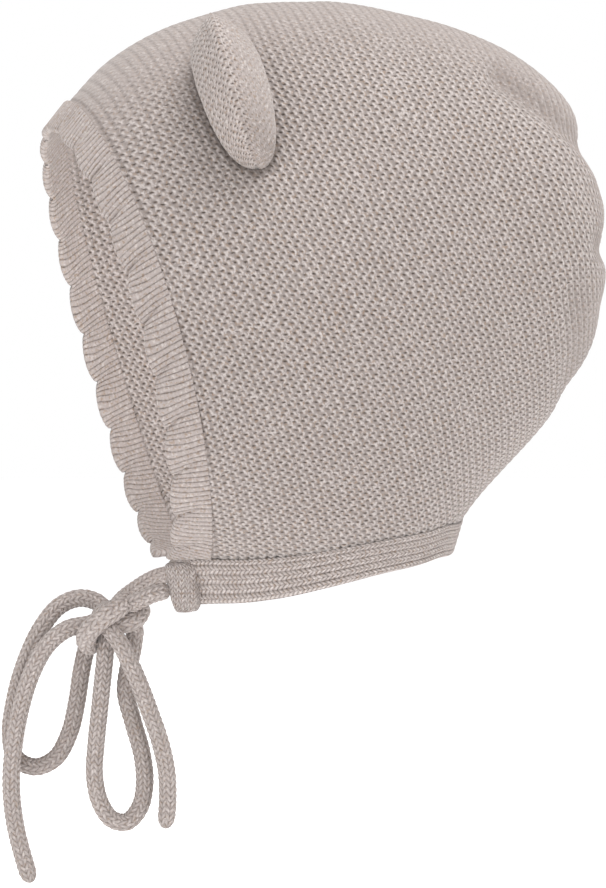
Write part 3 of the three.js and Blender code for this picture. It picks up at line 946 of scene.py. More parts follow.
@dataclass
class Hood:
    """The garter-stitch hood, as one knitted wall.

    On the sides its ridges leave the rows of the grid and run straight: over free_ridges from the
    seam, or over free_drop below free_below, and only over pole_reach beyond pole_free of the
    gather. calm_crease holds how much calmer the knit is in a crease, at which depth of the crease
    and how far from that depth.
    """

    form: HoodForm
    finish: KnitFinish
    ears: tuple
    ridge_pitch: float = 2.62
    side_pitch: float = 2.53
    stitch_slant: float = 0.12
    ridge_relief: float = 0.42
    crown_calm: float = 0.7
    crown_angle: float = 0.6
    rows_per_ridge: int = 6
    columns: int = 112
    table_rows: int = 600
    edge_radius: float = 1.1
    seam_margin: float = 1.0
    neck_margin: float = 0.6
    free_ridges: float = 16.0
    free_below: float = -60.0
    free_drop: float = 55.0
    pole_free: float = 18.0
    pole_reach: float = 48.0
    gather_count: int = 11
    gather_depth: float = 0.9
    gather_reach: float = 24.0
    gather_start: float = 9.0
    relief_start: float = 6.0
    soft_depths: tuple = (0.28, 0.14)
    calm_crease: tuple = (0.45, 2.4, 1.1)
    crease_shade: float = 0.07

    def _ridge_table(self) -> tuple:
        """Rows of the hoops and the number of ridges up to each, from the seam."""
        rows = np.linspace(self.form.seam_row, self.form.pole_row, self.table_rows)
        angles = np.linspace(0.35, 0.65, 7) * math.pi
        u, angle = np.meshgrid(rows, angles, indexing="ij")
        lengths = arc_lengths(self.form.smooth(u, angle)).mean(axis=1)
        return rows, lengths / self.ridge_pitch

    def _softness(self, point: Grid) -> Grid:
        """Slow unevenness of the knit, in mm, from a few crossing waves."""
        x, y, z = (point[..., k] for k in range(3))
        wide = np.sin(y / 17.0 + 0.6 * np.sin(z / 23.0)) * np.sin(z / 15.0 + x / 31.0)
        fine = np.sin(y / 7.5 - z / 9.0 + np.abs(x) / 11.0) * np.sin(z / 6.5 + y / 12.0)
        return self.soft_depths[0] * wide + self.soft_depths[1] * fine

    def _tones(self, points: Grid) -> dict:
        """Where the knit is calmer, and the painted shadow of the ears and the painted shade in the
        creases.
        """
        crease = self.form.crease_depth(points)
        most, depth, spread = self.calm_crease
        shades = [self.crease_shade * crease, *(ear.shade_on(points) for ear in self.ears)]
        return {"Calm": most * np.exp(-((crease - depth) ** 2) / spread), "Shade": np.max(shades, axis=0)}

    def _leaning(self, ridge: Grid, points: Grid, from_pole: Grid) -> Grid:
        """Turns the ridges from the rows of the grid to straight, leaning lines on the sides.

        Args:
            ridge: ridges from the seam, as the rows of the grid run.
            points: points of the hood.
            from_pole: distance of each point from the gather at the back.

        Returns:
            Ridges from the seam, which starts on the crest of one.
        """
        y, z = points[..., 1], points[..., 2]
        straight = y / self.side_pitch + np.interp(z, RIDGE_HEIGHTS, RIDGE_RISES)
        low = ease((self.free_below - z) / self.free_drop)
        free = np.maximum(ease((ridge - 1) / self.free_ridges), low)
        free = free * ease((from_pole - self.pole_free) / self.pole_reach)
        straight = straight + np.average(ridge - straight, weights=free)
        return ridge + (straight - ridge) * free + 0.5

    def _stitches(self, half: Grid) -> Grid:
        """Stitches from the crown to a place down a row, which are wider at the crown."""
        places = np.linspace(STITCH_PLACES[0], STITCH_PLACES[-1], 400)
        pitches = np.interp(places, STITCH_PLACES, STITCH_PITCHES)
        counts = np.concatenate([[0.0], np.cumsum(np.diff(places) / pitches[1:])])
        return np.interp(half, places, counts)

    def _wale(self, points: Grid, half: Grid) -> Grid:
        """Where one wale crosses each row, as it runs from the middle of the rim square to the rows.

        Args:
            points: points of the hood, row by row.
            half: each point's distance along its row from the crown.

        Returns:
            The distance from the crown at which the wale crosses each row.
        """
        near = slice(self.columns // 2, None)
        column = self.columns // 4
        spot = points[0, near][column]
        crossings = [half[0, near][column]]
        for row, lengths in zip(points[1:, near], half[1:, near]):
            distance = ((row - spot) ** 2).sum(axis=1)
            k = int(np.clip(np.argmin(distance), 1, len(row) - 2))
            share = k + nearest_share(*distance[k - 1 : k + 2], 1)
            places = np.arange(len(row))
            spot = np.array([np.interp(share, places, values) for values in row.T])
            crossings.append(np.interp(share, places, lengths))
        return np.array(crossings)

    def build(self) -> None:
        """Makes the hood."""
        form = self.form
        rows, ridges = self._ridge_table()
        ridge_count = round(ridges[-1])
        grid = KnitGrid("hood", ridge_count * self.rows_per_ridge, self.columns)
        s, t = grid.shares()
        u = np.interp(s * ridges[-1], ridges, rows)
        angle = (2 * t - 1) * form.hoop_end(u)
        base = form.creased(u, angle)
        normal = form.normal(form.creased, np.minimum(u, form.pole_row - form.pole_margin), angle)
        normal[-1] = (0, 1, 0)
        from_pole = np.linalg.norm(base - base[-1, 0], axis=-1)
        from_seam = arc_lengths(base)
        across = arc_lengths(base, axis=1)
        from_neck = np.where(u < form.nape_row, np.minimum(across, across[:, -1:] - across), np.inf)
        from_edge = np.minimum(from_seam + self.seam_margin, from_neck + self.neck_margin)
        draw_in = rounded_edge(from_edge, self.edge_radius)
        ridge = self._leaning(s * ridge_count, base, from_pole)
        depth = self.ridge_relief * (1 - self.crown_calm * bell(angle / self.crown_angle))
        relief = depth * (rib_height(ridge) - RIB_MEAN)
        relief = (relief + self._softness(base)) * ease(from_pole / self.relief_start)
        gather = np.cos(self.gather_count * angle) * bell(from_pole / self.gather_reach)
        relief = relief + self.gather_depth * (gather - 0.4) * ease(from_pole / self.gather_start)
        outer = moved(base, normal, relief - draw_in)
        inner = moved(base, normal, relief + draw_in - form.wall)
        half = np.abs(across - across[:, self.columns // 2][:, None])
        stitch = self._stitches(half) - self._stitches(self._wale(base, half))[:, None]
        knit_map = (ridge, stitch - self.stitch_slant * ridge)
        piece = grid.build(outer, knit_map, inner, self._tones(outer))
        finish_piece(piece, self.finish.build(), Slot.GARTER, ["knit_body"])


@dataclass
class Edging:
    """The ribbed, scalloped edging round the face opening."""

    form: HoodForm
    finish: KnitFinish
    wall: float = 2.4
    scallop_pitch: float = 15.0
    scallop_depth: float = 1.7
    lobe_power: float = 0.6
    notch_depth: float = 0.9
    notch_width: float = 0.25
    rib_pitch: float = 1.5
    rib_relief: float = 0.3
    rib_slant: float = 0.22
    slant_start: float = 12.0
    puff: float = 0.55
    lap: float = 0.35
    lap_rows: float = 0.04
    fan: float = 1.1
    rows: int = 12
    columns_per_rib: int = 6
    edge_radius: float = 1.15
    seam_margin: float = 1.1

    def _along_rim(self, points: Grid) -> Grid:
        """Finds the nearest place of the rim to each point.

        Args:
            points: points of the edging, row by row.

        Returns:
            Length along the rim from the crown, negative on the wearer's right.
        """
        lengths, angles = self.form.rim()
        lengths = np.concatenate([-lengths[:0:-1], lengths])
        angles = np.concatenate([-angles[:0:-1], angles])
        rim = self.form.smooth(np.zeros_like(angles), angles)
        step = lengths[-1] - lengths[-2]
        found = np.empty(points.shape[:-1])
        for row, line in enumerate(points):
            square = ((line[:, None, :] - rim[None, :, :]) ** 2).sum(axis=-1)
            k = np.clip(square.argmin(axis=1), 1, len(rim) - 2)
            here = np.arange(len(line))
            share = nearest_share(*(square[here, k + shift] for shift in (-1, 0, 1)), 1.5)
            found[row] = lengths[k] + share * step
        return found

    def build(self) -> None:
        """Makes the edging."""
        form = self.form
        lengths, angles = form.rim()
        half_ribs = round(lengths[-1] / self.rib_pitch)
        grid = KnitGrid("scalloped_edge", self.rows, 2 * half_ribs * self.columns_per_rib)
        s, t = grid.shares()
        s = 0.5 - 0.5 * np.cos(math.pi * s)
        length = (2 * t - 1) * lengths[-1]
        angle = np.sign(length) * np.interp(np.abs(length), lengths, angles)
        ends = form.smooth(np.array([0.0, form.seam_row]), np.full(2, math.pi / 2))
        width = float(np.linalg.norm(ends[1] - ends[0]))
        lobe = half_waves(length / self.scallop_pitch) ** self.lobe_power
        front = (1 - lobe) * self.scallop_depth / width
        u = front + (form.seam_row + self.lap_rows - front) * s
        turned = angle / form.hoop_end(np.zeros_like(angle)) * form.hoop_end(u)
        base = form.smooth(u, turned)
        normal = form.normal(form.smooth, u, turned)
        fan = self.fan * np.sin(TAU * length / self.scallop_pitch) * (1 - s) ** 2
        along = s * width
        slant = self.rib_slant * along * np.tanh(length / self.slant_start)
        rib = (self._along_rim(base) + fan + slant) / self.rib_pitch
        draw_in = rounded_edge(np.minimum(along, width - along + self.seam_margin), self.edge_radius)
        end_gap = (1 - np.abs(2 * t - 1)) * lengths[-1]
        draw_in = np.maximum(draw_in, rounded_edge(end_gap, self.edge_radius))
        notch = self.notch_depth * bell(lobe / self.notch_width)
        relief = self.rib_relief * (rib_height(rib) - RIB_MEAN) + self.lap * s**3
        relief = relief + (self.puff * (lobe - 0.7) - notch) * (1 - s)
        outer = moved(base, normal, relief - draw_in)
        inner = moved(base, normal, 0.5 * relief + draw_in - self.wall)
        piece = grid.build(outer, (rib, along), inner)
        finish_piece(piece, self.finish.build(), Slot.EDGING, ["scalloped_edging"])


# The band round the neck


@dataclass
class NeckBand:
    """The knitted band: a chain row, a groove and four wales that run round the neck."""

    form: HoodForm
    finish: KnitFinish
    height: float = 13.5
    height_back: float = 10.2
    gap: float = -0.5
    wall: float = 3.4
    lean: float = 0.3
    first_row_left: float = 0.55
    first_row_right: float = 1.25
    line_points: int = 25
    line_power: float = 1.6
    taper_end: float = 0.3
    chain: float = 2.0
    wales: int = 4
    stitch_pitch: float = 1.4
    wale_relief: float = 0.75
    stitch_relief: float = 0.28
    steps_per_stitch: int = 6
    steps_down: int = 34
    edge_radius: float = 1.2
    top_margin: float = 0.25
    end_margin: float = 0.4

    def line(self, count: int = 400) -> Grid:
        """The neck line, from the right front corner round the nape to the left one."""
        right = self._half_line(self.first_row_right) * np.array([-1, 1, 1])
        left = self._half_line(self.first_row_left)
        return smooth_line(np.vstack([right, left[-2::-1]]), count)

    def _half_line(self, first_row: float) -> Grid:
        """The neck line on the wearer's left, from a hoop to the nape."""
        share = 1 - (1 - np.linspace(0, 1, self.line_points)) ** self.line_power
        rows = first_row + (self.form.nape_row - first_row) * share
        return self.form.smooth(rows, self.form.hoop_end(rows))

    def frame(self, line: Grid) -> tuple:
        """Directions along the band.

        Args:
            line: its neck line.

        Returns:
            The outward, the downward and the forward direction at each point.
        """
        flat = normalised(normalised(np.gradient(line, axis=0)) * np.array([1, 1, 0]))
        outward = np.stack([-flat[:, 1], flat[:, 0], np.zeros(len(flat))], axis=-1)
        down = normalised(np.array([0, 0, -1.0]) - self.lean * outward)
        return outward, down, flat

    def build(self) -> None:
        """Makes the band."""
        length = arc_lengths(self.line())[-1]
        stitches = round(length / self.stitch_pitch)
        grid = KnitGrid("neck_band_knit", stitches * self.steps_per_stitch, self.steps_down)
        s, t = grid.shares()
        line = self.line(grid.rows + 1)
        outward, down, _ = self.frame(line)
        from_end = np.minimum(s, 1 - s)
        height = self.height + (self.height_back - self.height) * ease(from_end / self.taper_end)
        drop = t * height
        wale_height = (height - self.chain) / self.wales
        wale = np.where(drop < self.chain, drop / self.chain - 1, (drop - self.chain) / wale_height)
        stitch = s * stitches
        middle = moved(line[:, None], down[:, None], self.gap + drop)
        rolls = half_waves(wale) ** 0.55
        relief = self.wale_relief * (rolls - 0.85)
        relief = relief + self.stitch_relief * (vee_height(wale, stitch) - VEE_MEAN)
        from_edge = np.minimum(drop + self.top_margin, height - drop)
        draw_in = rounded_edge(np.minimum(from_edge, from_end * length + self.end_margin), self.edge_radius)
        outer = moved(middle, outward[:, None], relief - draw_in)
        inner = moved(middle, outward[:, None], draw_in - self.wall - 0.4 * relief)
        piece = grid.build(outer, (wale, stitch), inner)
        finish_piece(piece, self.finish.build(), Slot.BAND, ["neck_band"])


def rounded(value: Grid, power: float) -> Grid:
    """A cosine or sine at a power that keeps its sign, which makes a ring of them squarer."""
    return np.sign(value) * np.abs(value) ** power


@dataclass
class BandEnd:
    """The folded end of the band at a front corner.

    fold holds the depth of its crease, its place as a share of the length, and its half-width.
    """

    band: NeckBand
    side: Side
    finish: KnitFinish
    length: float = 11.7
    overlap: float = 1.8
    height: float = 14.2
    thickness: float = 5.0
    slant: float = 4.6
    squareness: float = 4.5
    drop: float = 0.5
    wale_pitch: float = 1.9
    stitch_pitch: float = 1.35
    relief: float = 0.24
    fold: tuple = (0.5, 0.78, 0.55)
    rows: int = 60
    columns: int = 90

    def build(self) -> None:
        """Makes the folded end."""
        line = self.band.line()
        outward, _, flat = self.band.frame(line)
        at = -1 if self.side is Side.LEFT else 0
        along = -self.side.value * flat[at]
        across = outward[at]
        grid = KnitGrid(f"band_fold_{self.side.name.lower()}", self.rows, self.columns)
        s, t = grid.shares()
        polar = math.pi * (0.5 - 0.5 * np.cos(math.pi * s))
        power = 2 / self.squareness
        ring = np.sin(polar) ** power
        level = rounded(np.cos(polar), power)
        cosine = rounded(np.cos(TAU * t), power)
        lean = self.slant * (0.5 - 0.5 * level) * (0.5 - 0.5 * cosine)
        x = self.length * (0.5 + 0.5 * ring * cosine) + lean * ring
        y = self.thickness * 0.5 * ring * rounded(np.sin(TAU * t), power)
        z = self.height * 0.5 * (level - 1)
        start = line[at] - across * self.band.wall / 2 - along * (self.length - self.overlap)
        start[2] -= self.drop
        base = moved(moved(start, along, x), across, y)
        base[..., 2] += z
        wale = arc_lengths(base, axis=1) / self.wale_pitch
        stitch = -z / self.stitch_pitch
        depth, place, half_width = self.fold
        crease = depth * bell((x - place * self.length) / half_width) * ring
        normal = grid_normals(base)
        middle = start + along * self.length / 2
        middle[2] -= self.height / 2
        away = np.einsum("ijk,ijk->ij", normal, base - middle)
        normal = normal * np.where(away < 0, -1, 1)[..., None]
        relief = (self.relief * (vee_height(wale, stitch) - VEE_MEAN) - crease) * ease(ring * 1.4)
        outer = moved(base, normal, relief)
        outer[0] = outer[0].mean(axis=0)
        outer[-1] = outer[-1].mean(axis=0)
        outer[:, -1] = outer[:, 0]
        piece = grid.build(outer, (wale, stitch))
        node = f"band_end_{self.side.name.lower()}"
        finish_piece(piece, self.finish.build(), Slot.BAND, [node])


# The ears


# Section of an ear from its seam over its back to its edge and down its front again, as shares
# of its height and of half its thickness
EAR_SECTION = (
    (0.00, 0.00), (0.01, 0.38), (0.10, 0.70), (0.28, 0.82), (0.52, 0.72), (0.75, 0.49),
    (0.93, 0.20), (1.00, 0.00), (0.94, -0.20), (0.78, -0.48), (0.55, -0.76), (0.30, -0.95),
    (0.11, -0.86), (0.01, -0.45), (0.00, 0.00),
)


@dataclass
class Ear:
    """A padded ear, sewn to the hood along a hoop.

    bead holds the height of the bead along its edge, the depth of the groove on each side, and
    that groove's place in bead widths.
    """

    form: HoodForm
    side: Side
    finish: KnitFinish
    length: float = 43.0
    height: float = 26.0
    thickness: float = 22.0
    lean_forward: float = 0.2
    top_hoop: float = 3.40
    low_hoop: float = 3.20
    angle: float = 45.5
    lift: float = 0.9
    plumpness: float = 0.6
    section_points: int = 241
    pitch: float = 2.3
    relief: float = 0.2
    bead: tuple = (0.4, 0.25, 2.2)
    bead_width: float = 0.022
    rows: int = 110
    columns: int = 120
    fill: float = 0.7
    shade_most: float = 0.7
    shade_width: float = 1.4
    shade_reach: float = 36.0
    seam_shade: float = 0.55
    seam_width: float = 0.06
    calm: float = 0.15
    back_calm: float = 0.5

    def surface(self, s: Grid, t: Grid) -> Grid:
        """Points of the ear on the wearer's left.

        Args:
            s: share of the way along the seam, from the top.
            t: share of the way round, from the seam over the back of the ear.

        Returns:
            The points, in mm.
        """
        form = self.form
        middle = math.radians(self.angle)
        middle_hoop = np.array((self.top_hoop + self.low_hoop) / 2)
        step = 0.01
        near = form.smooth(np.full(2, middle_hoop), np.array([middle - step, middle + step]))
        half_angle = self.length / 2 / (float(np.linalg.norm(near[1] - near[0])) / (2 * step))
        along = -np.cos(math.pi * s)
        fullness = np.sin(math.pi * s)
        angle = middle + along * half_angle
        hoop = self.top_hoop + (self.low_hoop - self.top_hoop) * (along + 1) / 2
        normal = form.normal(form.smooth, hoop, angle)
        axis = form.normal(form.smooth, middle_hoop, np.array(middle))
        axis = normalised(axis + np.array([0, -self.lean_forward, 0]))
        thick = normalised(np.array([0, 1.0, 0]) - normal * normal[..., 1:2])
        section = smooth_line(EAR_SECTION, self.section_points)
        places = np.linspace(0, 1, self.section_points)
        out, wide = (np.interp(t, places, column) for column in section.T)
        base = moved(form.smooth(hoop, angle), normal, self.lift * fullness)
        base = moved(base, axis, self.height * fullness**self.plumpness * out)
        return moved(base, thick, 0.5 * self.thickness * fullness**self.plumpness * wide)

    def shade_on(self, points: Grid) -> Grid:
        """Painted shadow that the ear casts on the hood beside it, in front of it and below it.

        Args:
            points: points of the hood, in mm.

        Returns:
            Shades from 0 to 1.
        """
        s, t = np.meshgrid(np.linspace(0.02, 0.98, 44), np.linspace(0.0, 1.0, 64), indexing="ij")
        skin = (self.surface(s, t) * np.array([self.side.value, 1, 1])).reshape(-1, 3)
        middle = skin.mean(axis=0)
        near = np.linalg.norm(points - middle, axis=-1) < self.shade_reach
        away = points[near] - middle
        # The two directions of the side view, in which the shade lies round the ear
        flat = np.array([[0.208 * self.side.value, 0.978, 0.0], [0.0, 0.0, 1.0]]).T
        gaps = (away @ flat)[:, None, :] - ((skin - middle) @ flat)[None, :, :]
        distance = np.sqrt((gaps**2).sum(axis=-1).min(axis=1))
        lower = ease(0.45 - (0.75 * away[:, 1] + 0.9 * away[:, 2]) / 18.0)
        shade = np.zeros(points.shape[:-1])
        shade[near] = self.shade_most * bell(distance / self.shade_width) * lower
        return shade

    def _tones(self, s: Grid, t: Grid) -> dict:
        """Calmer on the ear's back, with painted shadow along its seam towards the lower end."""
        on_back = ease((0.47 - t) / 0.08) * ease(t / 0.02)
        shade = self.seam_shade * bell(np.minimum(t, 1 - t) / self.seam_width) * ease((s - 0.2) / 0.3)
        shade = shade * (1 - on_back * (1 - ease((s - 0.7) / 0.2)))
        return {"Calm": self.calm + self.back_calm * on_back, "Shade": shade}

    def build(self) -> None:
        """Makes the ear."""
        grid = KnitGrid(f"ear_padded_{self.side.name.lower()}", self.rows, self.columns)
        s, t = grid.shares()
        base = self.surface(s, t)
        edge = self.surface(np.full_like(s, 0.5), np.full_like(t, 0.5))
        inside = edge * 0.45 + base.mean(axis=(0, 1)) * 0.55
        normal = grid_normals(base)
        normal = normal * np.sign(np.median(np.einsum("ijk,ijk->ij", normal, base - inside)))
        across = arc_lengths(base, axis=1)
        ridge = (across - across[:, -1:] / 2) / self.pitch
        stitch = arc_lengths(base, axis=0)[:, self.columns // 2][:, None] / self.pitch
        rim = (t - 0.5) / self.bead_width
        crest, groove, groove_place = self.bead
        bead = crest * bell(rim) - groove * bell(np.abs(rim) - groove_place)
        relief = (self.relief * wave(ridge) + bead) * ease(np.sin(math.pi * s) * 2.5)
        outer = moved(base, normal, relief)
        outer[[0, -1]] = base[[0, -1]]
        outer[:, -1] = outer[:, 0]
        outer = outer * np.array([self.side.value, 1, 1])
        piece = grid.build(outer, (ridge, np.broadcast_to(stitch, ridge.shape)), tones=self._tones(s, t))
        finish_piece(piece, self.finish.build(), Slot.EAR, [f"ear_{self.side.name.lower()}"])


# The ties and their bow


@dataclass
class KnitTube:
    """A knitted cord along a line of points, with its Vs in relief and rounded ends.

    tip_length is how many times longer than round the far end's tip is.
    """

    name: str
    points: Grid
    diameter: float
    start_wale: float = 0.0
    wales: int = 6
    stitch_pitch: float = 1.8
    vee_rise: float = 0.75
    vee_relief: float = 0.3
    groove_relief: float = 0.22
    steps_per_stitch: int = 7
    columns: int = 42
    tip_length: float = 1.6

    def line(self, count: int) -> Grid:
        """The cord's centreline, as evenly spaced points in mm."""
        return smooth_line(self.points, count)

    def _frames(self, line: Grid) -> tuple:
        """Two directions across the line that turn no more than they must.

        Args:
            line: the centreline.

        Returns:
            Both directions at each point.
        """
        tangent = normalised(np.gradient(line, axis=0))
        first = np.zeros_like(line)
        first[0] = normalised(np.cross(tangent[0], [0.0, 0.3, 1.0]))
        for i in range(1, len(line)):
            first[i] = normalised(first[i - 1] - tangent[i] * (first[i - 1] @ tangent[i]))
        return first, np.cross(tangent, first)

    def build(self) -> bpy.types.Object:
        """Makes the tube.

        Returns:
            The mesh, which isn't dressed yet.
        """
        length = arc_lengths(self.line(600))[-1]
        stitches = length / self.stitch_pitch
        grid = KnitGrid(self.name, round(stitches * self.steps_per_stitch), self.columns)
        s, t = grid.shares()
        line = self.line(grid.rows + 1)
        first, second = self._frames(line)
        stitch = s * stitches
        wale = t * self.wales + self.start_wale
        radius = self.diameter / 2
        along = s * length
        from_end = np.minimum(along, (length - along) / self.tip_length)
        cap = np.sqrt(1 - (1 - clamp(from_end / radius)) ** 2)
        groove = half_waves(wale) ** 0.5
        relief = self.vee_relief * (vee_height(wale, stitch, self.vee_rise) - 0.45)
        reach = (radius + relief + self.groove_relief * (groove - 0.75)) * cap
        outer = moved(line[:, None], first[:, None], np.cos(TAU * t) * reach)
        outer = moved(outer, second[:, None], np.sin(TAU * t) * reach)
        outer[:, -1] = outer[:, 0]
        return grid.build(outer, (wale, stitch))


LEFT_TIE = (
    (12.3, -41.1, -164.5), (10.6, -44.4, -165.5), (8.6, -47.8, -167.2), (4.2, -51.8, -170.0),
    (1.0, -54.2, -173.7), (2.6, -56.2, -178.7), (2.6, -57.1, -186.6), (2.4, -58.2, -197.3),
    (2.2, -59.3, -208.3), (2.0, -59.7, -216.8), (1.8, -58.1, -224.5), (1.8, -54.7, -229.4),
    (1.8, -50.4, -230.2), (1.8, -46.8, -226.4), (1.8, -45.3, -219.9), (1.8, -46.0, -211.4),
    (1.2, -48.5, -202.1), (0.6, -50.5, -193.6), (0.8, -49.8, -186.8), (1.4, -48.7, -181.7),
    (2.0, -48.3, -178.2), (2.6, -48.3, -175.6), (3.4, -49.8, -174.0), (3.2, -52.7, -173.4),
    (5.4, -57.5, -173.5), (8.0, -55.7, -176.2), (9.8, -53.4, -179.8), (10.0, -50.9, -184.9),
    (9.2, -48.1, -190.9), (8.2, -44.9, -198.9), (7.8, -41.9, -207.4), (7.6, -40.0, -215.9),
    (7.4, -39.7, -224.4), (7.2, -40.3, -231.9),
)
RIGHT_TIE = (
    (-18.6, -35.0, -161.0), (-13.6, -39.6, -161.8), (-12.0, -42.2, -162.9), (-10.2, -45.6, -164.8),
    (-7.5, -49.5, -167.2), (-2.0, -53.5, -170.2), (-1.0, -55.0, -171.0), (-4.6, -58.0, -168.2),
    (-7.4, -62.5, -167.2), (-9.2, -68.0, -169.5), (-10.4, -73.0, -175.7), (-11.0, -77.5, -185.4),
    (-11.4, -80.5, -196.2), (-11.4, -81.7, -206.1), (-11.0, -80.1, -212.7), (-10.2, -74.8, -215.2),
    (-9.4, -69.1, -212.7), (-8.6, -65.2, -205.6), (-7.8, -63.1, -196.2), (-7.2, -61.8, -187.1),
    (-6.4, -59.8, -179.4), (-3.0, -56.0, -174.2), (0.0, -55.7, -172.6), (-0.4, -60.8, -174.3),
    (-2.0, -66.8, -175.7), (-3.6, -72.3, -180.3), (-4.4, -76.5, -187.9), (-4.8, -79.5, -197.2),
    (-5.0, -81.6, -208.5), (-5.0, -82.4, -219.8), (-5.0, -81.2, -231.2), (-5.0, -78.7, -241.1),
    (-5.0, -76.7, -247.6),
)
KNOT_STRANDS = (
    (
        (-1.0, -59.1, -181.4), (2.5, -62.1, -179.0), (6.4, -62.0, -176.2), (8.6, -60.3, -173.9),
        (9.4, -57.9, -171.9), (8.4, -54.6, -170.0), (5.0, -51.8, -168.2), (0.5, -49.6, -166.7),
    ),
    (
        (2.6, -57.1, -174.8), (5.2, -54.6, -174.4), (6.3, -51.7, -174.0), (5.8, -48.8, -172.9),
        (3.2, -46.7, -170.7), (-0.5, -46.2, -168.5),
    ),
)


@dataclass
class Bow:
    """Both ties, each a whole cord, and the knot that holds them."""

    finish: KnitFinish
    knot_centre: tuple = (0.0, -54.4, -172.6)
    knot_size: tuple = (11.0, 12.0, 10.0)
    core_stitches: tuple = (14.0, 9.0)
    strand_diameters: tuple = (5.6, 5.3)
    strand_turn: float = 0.3
    diameter: float = 4.8
    into_band: float = 1.3

    def _knot(self, material: bpy.types.Material) -> bpy.types.Object:
        """Makes the knot: strands that wrap round a core, as one mesh.

        Args:
            material: its finish.

        Returns:
            The finished knot.
        """
        strands = []
        for number, (points, diameter) in enumerate(zip(KNOT_STRANDS, self.strand_diameters)):
            tube = KnitTube(f"knot_strand_{number}", points, diameter, self.strand_turn * number)
            strands.append(tube.build())
        only()
        bpy.ops.mesh.primitive_uv_sphere_add(segments=32, ring_count=20, radius=0.5, calc_uvs=True)
        core = bpy.context.object
        layer = core.data.uv_layers[0]
        layer.name = "Knit"
        layer.data.foreach_set("uv", (read(layer.data, "uv", 2) * self.core_stitches).ravel())
        size = Vector(self.knot_size) * MM
        place = Matrix.Translation(Vector(self.knot_centre) * MM)
        core.data.transform(place @ Matrix.Diagonal((*size, 1.0)))
        core.data.shade_smooth()
        only(core)
        for strand in strands:
            strand.select_set(True)
        bpy.ops.object.join()
        core.name = "bow_knot_wraps"
        core.data.name = "bow_knot_wraps"
        finish_piece(core, material, Slot.TIE, ["bow_knot"])
        return core

    def _tie(self, side: Side, points: tuple, material: bpy.types.Material) -> None:
        """Makes one tie: its lead, its loop and its free end.

        Args:
            side: the wearer's side.
            points: the points that it runs through.
            material: its finish.
        """
        name = side.name.lower()
        route = np.array(points)
        route = np.vstack([route[0] + self.into_band * normalised(route[0] - route[1]), route])
        tube = KnitTube(f"tie_{name}", route, self.diameter)
        piece = tube.build()
        nodes = [f"tie_{name}_{part}" for part in ("lead", "loop", "end")]
        finish_piece(piece, material, Slot.TIE, nodes)
        path = tube.line(300) * MM
        length = float(arc_lengths(path)[-1])
        LOG.info("%s is %.1f mm long", piece.name, length / MM)

    def build(self) -> None:
        """Makes the ties and the knot."""
        material = self.finish.build()
        knot = self._knot(material)
        self._tie(Side.LEFT, LEFT_TIE, material)
        self._tie(Side.RIGHT, RIGHT_TIE, material)


# Camera, light and floor


MIDDLE = (0.0, 0.0009, -0.1234)


@dataclass(frozen=True)
class Lamp:
    """A square soft light: its place, its side and its aim in metres and its power in watts."""

    name: str
    place: tuple
    size: float
    power: float
    aim: tuple = MIDDLE

    def build(self) -> None:
        """Hangs the lamp, which the camera doesn't see."""
        data = bpy.data.lights.new(self.name, "AREA")
        data.size = self.size
        data.energy = self.power
        lamp = bpy.data.objects.new(self.name, data)
        lamp.visible_camera = False
        put(lamp, Vector(self.place), Vector(self.aim))


LAMPS = (
    Lamp("key", (0.9, -1.0, 0.3), 1.2, 6.0),
    Lamp("top", (0.4, 0.3, 1.3), 1.2, 24.0),
    Lamp("back", (0.3, 1.1, 0.9), 1.2, 3.5),
    Lamp("inside", (0.034, -0.005, -0.09), 0.06, 0.09, (-0.05, -0.05, -0.09)),
)


def put(thing: bpy.types.Object, place: Vector, aim: Vector) -> None:
    """Adds a camera or a lamp to the scene.

    Args:
        thing: the camera or lamp.
        place: where it stands, in metres.
        aim: where it looks.
    """
    thing.location = place
    thing.rotation_mode = "QUATERNION"
    thing.rotation_quaternion = (aim - place).to_track_quat("-Z", "Y")
    bpy.context.scene.collection.objects.link(thing)


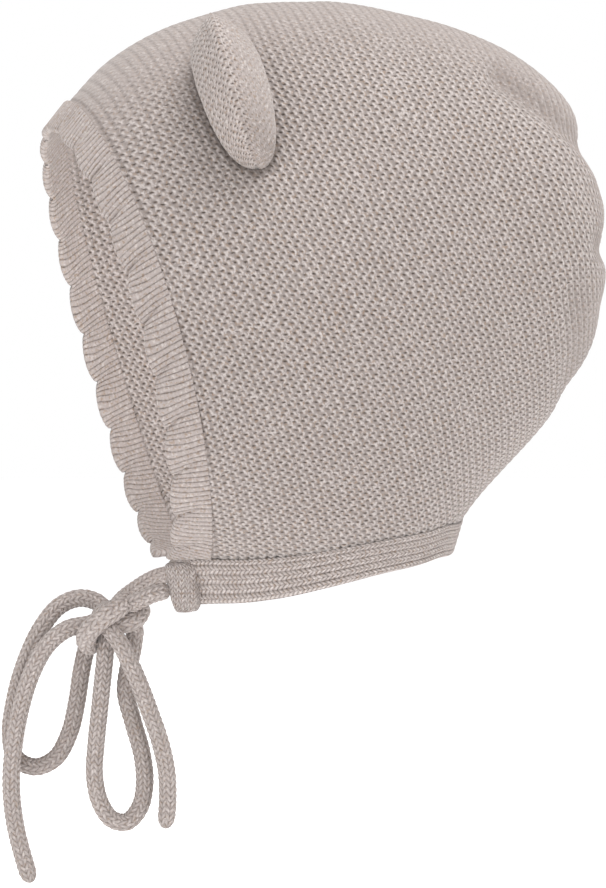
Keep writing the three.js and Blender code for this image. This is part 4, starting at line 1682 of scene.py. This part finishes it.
@dataclass
class Studio:
    """A camera at the photograph's angle, soft light and a plain pale floor."""

    azimuth: float = 78.0
    distance: float = 1.2
    sensor: float = 36.0
    view_height: float = 0.2537
    clip: tuple = (0.05, 50.0)
    floor_size: float = 30.0
    floor_height: float = -0.262
    floor_glow: float = 0.45
    world_strength: float = 0.62

    def _camera(self) -> None:
        """Makes the camera."""
        data = bpy.data.cameras.new("camera")
        data.sensor_width = self.sensor
        data.lens = self.sensor * self.distance / self.view_height
        data.clip_start, data.clip_end = self.clip
        camera = bpy.data.objects.new("camera", data)
        angle = math.radians(self.azimuth)
        back = Vector((math.sin(angle), -math.cos(angle), 0.0))
        put(camera, Vector(MIDDLE) + back * self.distance, Vector(MIDDLE))
        bpy.context.scene.camera = camera

    def _world(self) -> None:
        """Gives the world an even white light, and a white backdrop that is brighter."""
        world = bpy.data.worlds.new("studio")
        world.use_nodes = True
        nodes = Nodes(world.node_tree)
        path = nodes.node("ShaderNodeLightPath")
        ambient = nodes.node("ShaderNodeBackground", {"Color": WHITE, "Strength": self.world_strength})
        backdrop = nodes.tree.nodes["Background"]
        nodes.feed(backdrop, {"Color": WHITE, "Strength": 1.0})
        lights = {0: path.outputs["Is Camera Ray"], 1: ambient.outputs[0], 2: backdrop.outputs[0]}
        mix = nodes.node("ShaderNodeMixShader", lights)
        nodes.feed(nodes.tree.nodes["World Output"], {"Surface": mix.outputs[0]})
        bpy.context.scene.world = world
        bpy.context.scene.view_settings.view_transform = "Standard"
        bpy.context.scene.view_settings.look = "None"

    def _floor(self) -> None:
        """Lays the floor."""
        only()
        bpy.ops.mesh.primitive_plane_add(size=self.floor_size, location=(0.0, 0.0, self.floor_height))
        floor = bpy.context.object
        floor.name = "floor"
        shader = Shader("pale_floor")
        looks = {"Base Color": (0.95, 0.95, 0.95, 1.0), "Roughness": 0.9}
        glow = {"Emission Color": WHITE, "Emission Strength": self.floor_glow}
        shader.feed(shader.surface, {**looks, **glow})
        floor.data.materials.append(shader.material)

    def build(self) -> None:
        """Sets up the studio."""
        self._camera()
        self._world()
        for lamp in LAMPS:
            lamp.build()
        self._floor()


TIE_FINISH = KnitFinish(
    Slot.TIE, Stitch.VEE, relief=0.00025, gap_shade_strength=0.6, crest_highlight=0.25, heather=0.6, unevenness=0.06
)
EAR_FINISH = KnitFinish(
    Slot.EAR, Stitch.GARTER, EAR_YARN, relief=0.0003, gap_shade_strength=1.35, crest_highlight=0.8, toned=True
)
HOOD_FINISH = KnitFinish(
    Slot.GARTER, Stitch.GARTER, HOOD_YARN, unevenness=0.13, tight_within=0.046, toned=True
)
RIB_FINISH = KnitFinish(
    Slot.EDGING, Stitch.RIB, RIB_YARN, relief=0.0003, gap_shade_strength=0.62, crest_highlight=0.1, heather=0.8,
    unevenness=0.16,
)
BAND_FINISH = KnitFinish(
    Slot.BAND, Stitch.VEE, relief=0.0003, gap_shade_strength=0.75, crest_highlight=0.35, unevenness=0.05
)


def main() -> None:
    """Builds the studio and the bonnet, piece by piece."""
    logging.basicConfig(level=logging.INFO, format="%(message)s")
    Studio().build()
    Bow(TIE_FINISH).build()
    form = HoodForm()
    ears = tuple(Ear(form, side, EAR_FINISH) for side in Side)
    Hood(form, HOOD_FINISH, ears).build()
    for ear in ears:
        ear.build()
    Edging(form, RIB_FINISH).build()
    band = NeckBand(form, BAND_FINISH)
    band.build()
    for side in Side:
        BandEnd(band, side, BAND_FINISH).build()


if __name__ == "__main__":
    main()
